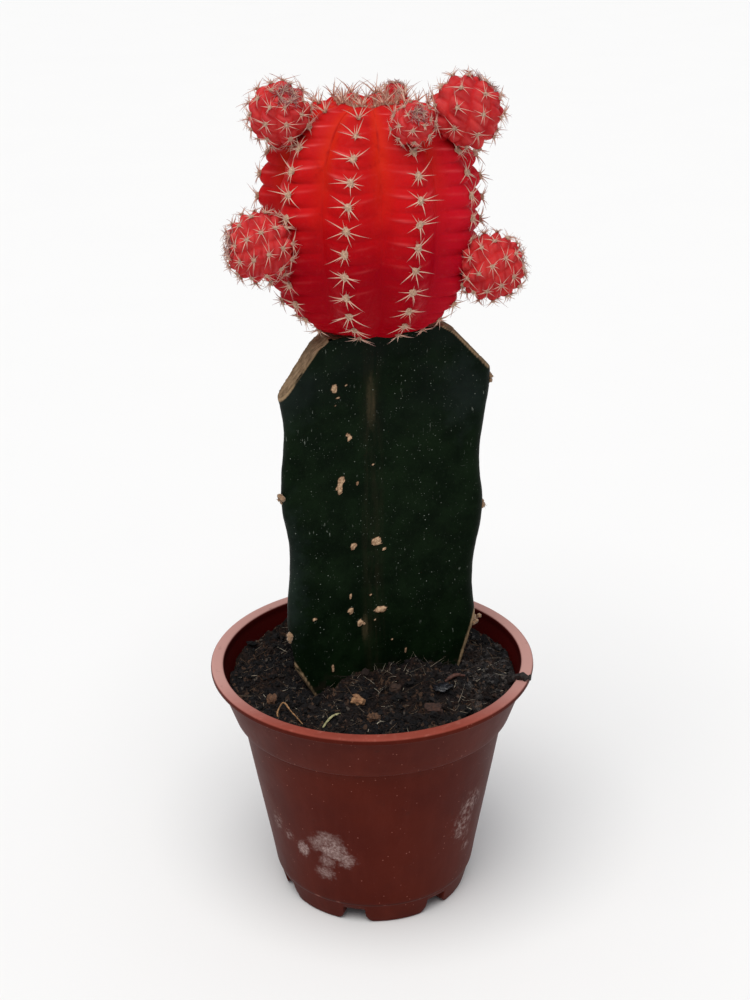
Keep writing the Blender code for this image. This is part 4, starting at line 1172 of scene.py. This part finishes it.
def areoleSpines(points, normals, ups, scale, length, radius, jitter, lifted=0.0):
    # every areole throws the same fan, turned in the plane of the skin and lifted off it
    fan = np.array(spines["fan"])
    count, each = len(points), len(fan)
    n = np.repeat(normals, each, 0)
    u = np.repeat(ups, each, 0)
    side = np.cross(u, n)
    a = np.radians(np.tile(fan[:, 0], count) + draw.normal(0, 13, count * each))
    lift = lifted + np.tile(fan[:, 2], count) + draw.normal(0, jitter, count * each)
    flat = u * np.cos(a)[:, None] + side * np.sin(a)[:, None]
    ways = unit(flat + n * np.maximum(lift, 0.12)[:, None])
    bends = -0.16 * n + 0.10 * flat + draw.normal(0, 0.07, n.shape)
    lengths = length * np.tile(fan[:, 1], count) * np.repeat(scale, each)
    lengths = lengths * draw.uniform(0.72, 1.15, count * each)
    radii = radius * draw.uniform(0.8, 1.15, count * each)
    keep = draw.uniform(0, 1, count * each) > 0.08
    roots = np.repeat(points, each, 0) + n * 0.15 + flat * 0.25
    return tuple(v[keep] for v in (roots, ways, lengths, radii, bends))


def areoleWool(name, points, normals, ups, sizes, look):
    # a low cushion of wool on every areole, with short hairs that stand out of it
    count = len(points)
    frames = np.stack([np.cross(ups, normals), ups, normals], 1)
    shapes, faces = lumpyBalls(count, 1, 0.3, spines["wool"])
    piece = scatter(name, shapes, [faces], points + normals * 0.12, frames, sizes[:, None], {"along": 0.3})
    place(piece, look, "straw")
    each = spines["woolHairs"]
    n = np.repeat(normals, each, 0)
    around = draw.normal(0, 1, n.shape)
    flat = unit(around - (around * n).sum(1)[:, None] * n)
    size = np.repeat(sizes, each)
    roots = np.repeat(points, each, 0) + flat * (size * draw.uniform(0.1, 0.7, len(n)))[:, None] + n * 0.1
    ways = unit(flat * draw.uniform(0.1, 1.4, (len(n), 1)) + n * 0.7)
    piece = hairs(name + "Hairs", roots, ways, size * draw.uniform(0.7, 1.35, len(n)),
                  np.full(len(n), spines["woolHairRadius"]), draw.normal(0, 0.35, n.shape), 3, 3)
    place(piece, look, "straw")


def surfaceFrame(surface, up, turn):
    # point, outward normal and the way up the rib, from small steps over the surface
    e = 0.02
    here = surface(up, turn)
    ahead = unit(surface(up + e, turn) - here)
    around = unit(surface(up, turn + e) - surface(up, turn - e))
    normal = unit(np.cross(around, ahead))
    return here, normal, ahead


def dressGlobe():
    g = globe
    profile, length, radii, heights = meridian()
    ups, turns, scale = [], [], []
    for rib in range(g["ribs"]):
        s = g["starts"][rib] + g["pitch"] * np.arange(g["mostAreoles"])
        s = s[s < length[-1] - g["bareCrown"]]
        ups.append(np.interp(s, length, profile))
        part = rib - ribSway(s, g["sways"][rib])
        turns.append(math.radians(g["ribTurn"]) + part * 2 * math.pi / g["ribs"])
        scale.append(0.72 + 0.28 * smoothStep(2, 16, s) + 0.12 * smoothStep(48, 66, s))
    ups, turns, scale = (np.concatenate(v) for v in (ups, turns, scale))
    clear = np.ones(len(ups), bool)
    here, normal, ahead = surfaceFrame(lambda u, t: globeSurface(u, t)[0], ups, turns)
    for name in pups:
        centre, size = ballThrough(name)
        clear &= np.linalg.norm(here - centre, axis=1) > size * 0.92
    here, normal, ahead, scale = here[clear], normal[clear], ahead[clear], scale[clear]
    above = here[:, 2] - globeEquator()
    lifted = np.repeat(0.9 * smoothStep(19, 25, above), len(spines["fan"]))
    parts = areoleSpines(here, normal, ahead, scale, spines["globeLength"], spines["globeRadius"],
                         spines["jitter"], lifted)
    piece = hairs("globeSpines", *parts, 4, 6)
    place(piece, spineLook("globeSpine", srgb(222, 184, 162), srgb(150, 118, 114)), "straw")
    wool = woolLook("areoleWool", srgb(226, 194, 164), srgb(170, 130, 106))
    areoleWool("globeWool", here, normal, ahead, scale * (1 - 0.5 * smoothStep(17, 25, above)), wool)
    # young crowded areoles in the dip of the crown, on a sunflower spiral
    count = spines["crownAreoles"]
    turn = np.arange(count) * spiralTurn
    radius = 0.9 + 7.2 * np.sqrt(np.arange(count) / count)
    upper = len(profile) // 2
    level = np.interp(-radius, -radii[upper:], heights[upper:])
    spot = polar(radius, turn, level) + (*globeCentre(), 0)
    normal = unit(polar(0.3, turn, 1.0))
    ahead = unit(np.cross(normal, polar(1.0, turn - math.pi / 2, 0.0)))
    parts = areoleSpines(spot, normal, ahead, np.full(count, 0.78), spines["globeLength"],
                         spines["crownRadius"], spines["jitter"], 1.5)
    piece = hairs("crownSpines", *parts, 4, 5)
    place(piece, spineLook("crownSpine", srgb(196, 140, 118), srgb(140, 96, 90)), "straw")
    areoleWool("crownWool", spot, normal, ahead, np.full(count, 0.6), wool)
    print("globe dressed", len(here), "areoles")


# Pups

pups = {
    # the way the crown points (round and up), ribs, areoles up a rib, spine size and any slimming
    "offset_upper_left": {"aim": (-62, 48), "ribs": 8, "rows": 5, "spine": 1.0},
    "offset_upper_right": {"aim": (22, 52), "ribs": 8, "rows": 5, "spine": 1.0},
    "offset_lower_left": {"aim": (-168, 4), "ribs": 9, "rows": 6, "spine": 0.95, "shrink": 0.93},
    "offset_lower_right": {"aim": (6, 6), "ribs": 9, "rows": 6, "spine": 0.9, "shrink": 0.94},
    "offset_front_bud": {"aim": (-66, 40), "ribs": 7, "rows": 4, "spine": 0.62},
    "offset_crown_bud": {"aim": (80, 70), "ribs": 6, "rows": 3, "spine": 0.55},
    "offset_back_left": {"aim": (114, 22), "ribs": 8, "rows": 5, "spine": 0.95},
    "offset_back_right": {"aim": (66, 4), "ribs": 9, "rows": 5, "spine": 0.95},
}


pupShape = {
    # degrees up where tubercles begin and end, how many ribs the spiral turns for each radian up,
    # the tubercles' height against the radius, and how clear of the globe an areole must be
    "lowest": -66, "highest": 78, "spiral": 0.6, "knob": 0.15, "clear": 0.6, "rings": 60, "columns": 120,
}


def makePup(name, flesh):
    # a ball in rows of pointed tubercles: radius*(0.9 + knob*cos(pi v)*cos(c pi/2)), c and v as below
    q = pups[name]
    shape = pupShape
    centre, size = ballThrough(name)
    size = size * q.get("shrink", 1.0)
    a, b = np.radians(q["aim"])
    crown = polar(math.cos(b), a, math.sin(b))
    turned = np.array(Vector(crown).to_track_quat("Z", "Y").to_matrix())
    lowest = math.radians(shape["lowest"])
    step = (math.radians(shape["highest"]) - lowest) / q["rows"]

    def fromKnob(up, turn):
        # how far a point is from the nearest tubercle: across the spiral ribs (0 to 1) and up them
        part = turn * q["ribs"] / (2 * math.pi) + shape["spiral"] * up
        row = (up - lowest) / step - 0.5 - 0.5 * (np.mod(np.round(part), 2))
        return np.abs(part - np.round(part)) * 2, row - np.round(row)

    def surface(up, turn):
        c, v = fromKnob(up, turn)
        girth = np.maximum(np.cos(up), 0) ** 0.85
        knob = np.cos(math.pi * np.clip(v, -0.5, 0.5)) * np.cos(math.pi / 2 * c)
        reach = size * (0.90 * (1 - 0.02 * c * girth) + shape["knob"] * knob * smoothStep(0.1, 0.5, girth))
        p = polar(girth * reach, turn, np.sin(up) * reach * 0.98)
        p = p * (1 + 0.02 * roughNoise(p, 3, 2, len(name))[..., None])
        return centre + p @ turned.T

    ups = np.linspace(math.radians(-76), math.radians(88.5), shape["rings"])
    turns = np.linspace(0, 2 * math.pi, shape["columns"], endpoint=False)
    up, turn = np.meshgrid(ups, turns, indexing="ij")
    rings = surface(up, turn)
    c, v = np.abs(fromKnob(up, turn))
    piece = shell(name.replace("offset_", "pup_"), rings, rings[0].mean(0), rings[-1].mean(0),
                  {"furrow": np.maximum(c, v * 2) ** 2, "fold": bell(v - 0.32, 0.08) * (1 - c)})
    place(piece, flesh, "offset_flesh", name)
    # areoles at the knobs, then a dense crown of young ones
    k, r = np.meshgrid(np.arange(q["rows"]), np.arange(q["ribs"]), indexing="ij")
    au = lowest + (k.ravel() + 0.5 + 0.5 * (r.ravel() % 2)) * step
    at = (r.ravel() - shape["spiral"] * au) * 2 * math.pi / q["ribs"]
    here, normal, ahead = surfaceFrame(surface, au, at)
    small = 1.0 - 0.35 * smoothStep(0.6, 1.35, au)
    out = here - np.array([*globeCentre(), globeEquator()])
    free = np.linalg.norm(out, axis=1) > globe["radius"] + shape["clear"]
    here, normal, ahead, small = here[free], normal[free], ahead[free], small[free]
    grown = areoleSpines(here, normal, ahead, small * q["spine"], spines["pupLength"],
                         spines["pupRadius"] * (0.7 + 0.3 * q["spine"]), spines["jitter"])
    wool = (here, normal, ahead, small * 0.56 * (0.6 + 0.4 * q["spine"]))
    count = spines["pupCrownAreoles"]
    ct = np.arange(count) * spiralTurn
    cu = math.pi / 2 - 0.09 - 0.28 * np.sqrt(np.arange(count) / count)
    here, normal, ahead = surfaceFrame(surface, cu, ct)
    young = areoleSpines(here, normal, ahead, np.full(count, 0.72 * q["spine"]), spines["pupLength"],
                         spines["pupRadius"] * 0.8, 0.35)
    return grown, wool, young


def joined(parts):
    # several pieces' tuples of arrays, end to end
    return [np.concatenate(v) for v in zip(*parts)]


def makePups():
    flesh = fleshLook("pupFlesh", False)
    spine = spineLook("pupSpine", srgb(216, 176, 158), srgb(142, 110, 110))
    youngSpine = spineLook("youngSpine", srgb(168, 118, 118), srgb(104, 76, 84))
    wool = woolLook("pupWool", srgb(222, 188, 160), srgb(168, 126, 106))
    grown, tufts, young = zip(*[makePup(name, flesh) for name in pups])
    place(hairs("pupSpines", *joined(grown), 4, 5), spine, "straw")
    place(hairs("pupCrownSpines", *joined(young), 4, 5), youngSpine, "straw")
    areoleWool("pupWool", *joined(tufts), wool)
    print("pups made", len(pups))


# Loose pieces

chips = {
    # two colours and how rough
    "bark_chip_1": {"colour": srgb(112, 74, 48), "pale": srgb(176, 136, 98), "rough": 0.8},
    "bark_chip_2": {"colour": srgb(60, 36, 22), "pale": srgb(112, 76, 48), "rough": 0.85},
    "bark_chip_3": {"colour": srgb(64, 42, 28), "pale": srgb(116, 82, 56), "rough": 0.85},
    "bark_chip_4": {"colour": srgb(38, 24, 17), "pale": srgb(66, 44, 31), "rough": 0.85},
    "bark_chip_5": {"colour": srgb(40, 24, 18), "pale": srgb(72, 44, 32), "rough": 0.85},
    "bark_chip_6": {"colour": srgb(70, 48, 34), "pale": srgb(120, 88, 62), "rough": 0.85},
    # the peat flake's bluish pale is a painted sheen in its layers
    "peat_flake": {"colour": srgb(12, 12, 15), "pale": srgb(40, 42, 50), "rough": 0.25},
}


def chipLook(name, q):
    look = Look(name.replace("_", ""), Specular_IOR_Level=0.5)
    layers = look.noise(0.8, 5, 0.7, look.squeeze(1, 1, 3))
    colour = look.mix(layers.over(0.35, 0.7), q["colour"], q["pale"])
    colour = look.blotch(colour, tuple(c * 0.4 for c in q["colour"]), 0.6, 1.6, 4, 0.5, 0.75)
    return look.finish(colour, q["rough"] + 0.1 * layers, [(layers, 0.18)])


def makeChips():
    # a ball squared off and roughened: |x|^0.82 keeps corners, and noise breaks up the faces
    for seed, (name, q) in enumerate(chips.items()):
        low, high = box(name)
        middle, half = (low + high) / 2, (high - low) / 2
        points, faces = icoBall(3)
        p = np.sign(points) * np.abs(points) ** 0.82
        p = p * (1 + 0.34 * roughNoise(points * 2.3, 1, 3, 200 + seed))[:, None]
        p = p / np.abs(p).max(0)
        ground = mixHeight(middle[None, 0], middle[None, 1])[0] + half[2] * 0.4
        flake = name == "peat_flake"
        at = np.array([middle[0], middle[1], ground + 0.5 * flake])
        label = name.replace("bark_chip", "barkChip").replace("peat_flake", "peatFlake")
        piece = putMesh(label, at + p * half * 1.25, [faces])
        place(piece, chipLook(name, q), "dark_peat" if flake else "bark", name)
    print("chips made")


def tube(name, route, radii, look, slot, node, sides, knots, seed):
    # a round section carried along a route, its radius shaken by noise
    tangent = unit(np.gradient(route, axis=0))
    aside = unit(np.cross(tangent, np.array([0.1, 0.2, 1.0])))
    above = np.cross(tangent, aside)
    a = circle(sides)
    out = aside[:, None] * np.cos(a)[:, None] + above[:, None] * np.sin(a)[:, None]
    rings = route[:, None] + out * np.asarray(radii).reshape(-1, 1, 1)
    rings = rings + out * (knots * roughNoise(rings, 0.8, 3, seed))[..., None]
    piece = shell(name, rings, route[0] - tangent[0] * 0.05, route[-1] + tangent[-1] * 0.05)
    place(piece, look, slot, node)


def smoothRoute(points, count):
    # Catmull-Rom curve through the points
    p = np.array([points[0], *points, points[-1]], float)
    out = []
    for a, b, c, d in zip(p, p[1:], p[2:], p[3:]):
        t = np.linspace(0, 1, count, endpoint=False)[:, None]
        bent = (2 * a - 5 * b + 4 * c - d) * t**2 + (3 * b - a - 3 * c + d) * t**3
        out.append(0.5 * (2 * b + (c - a) * t + bent))
    return np.concatenate([*out, p[-1:]])


stalks = {
    # heights are above the mix
    "root_stick": {"route": [(19.0, -7.8, 0.7), (21.6, -6.6, 1.1), (24.3, -5.7, 0.8)], "radius": 0.5,
                   "colour": srgb(58, 34, 28), "pale": srgb(96, 62, 52)},
    "straw_stalk": {"route": [(-12.5, -27.2, 0.5), (-10.2, -25.0, 1.2), (-8.0, -24.3, 0.9)], "radius": 0.3,
                    "colour": srgb(122, 118, 78), "pale": srgb(178, 172, 130)},
    "dry_stalk": {"route": [(-23.9, -23.8, 0.6), (-24.1, -21.6, 2.0), (-22.6, -20.4, 2.2),
                            (-20.7, -23.4, 1.9), (-17.5, -28.0, 1.3)], "radius": 0.21,
                  "colour": srgb(112, 78, 48), "pale": srgb(166, 126, 86)},
}


twig = {
    # heights are above the lip
    "route": [(35.5, -13.2, -1.4), (36.0, -13.5, 0.3), (37.0, -13.5, 0.9), (39.1, -13.7, 0.8)],
    "radius": 0.8, "colour": srgb(14, 11, 11), "pale": srgb(44, 34, 30),
}


def stalkLook(name, q):
    look = Look(name.replace("_", ""), Specular_IOR_Level=0.35)
    grain = look.noise(0.7, 4, 0.65)
    colour = look.mix(grain.over(0.3, 0.7), q["colour"], q["pale"])
    return look.finish(colour, 0.7, [(grain, 0.08)])


def makeStalks():
    for seed, (name, q) in enumerate(stalks.items()):
        route = np.array(q["route"], float)
        route[:, 2] += mixHeight(route[:, 0], route[:, 1])
        route = smoothRoute(route, 8)
        taper = q["radius"] * (1 - 0.35 * np.linspace(-1, 1, len(route)) ** 2)
        tube(name.replace("_", ""), route, taper, stalkLook(name, q), "straw", name, 10, 0.12, 300 + seed)
    # the twig climbs out of the mix and lies across the lip, thicker and thinner by turns
    route = np.array([*twig["route"], (box("twig")[1][0] - 1.2, -14.4, 1.0)]) + (0, 0, potTop)
    route = smoothRoute(route, 7)
    radii = twig["radius"] + 0.25 * np.sin(np.linspace(0, 11, len(route)))
    tube("twigBit", route, radii, stalkLook("twig", twig), "dark_peat", "twig", 14, 0.5, 340)
    print("stalks made")


setStudio()
makePot()
makeMix()
makeStem()
makeCrumbs()
makeGlobe()
dressGlobe()
makePups()
makeChips()
makeStalks()
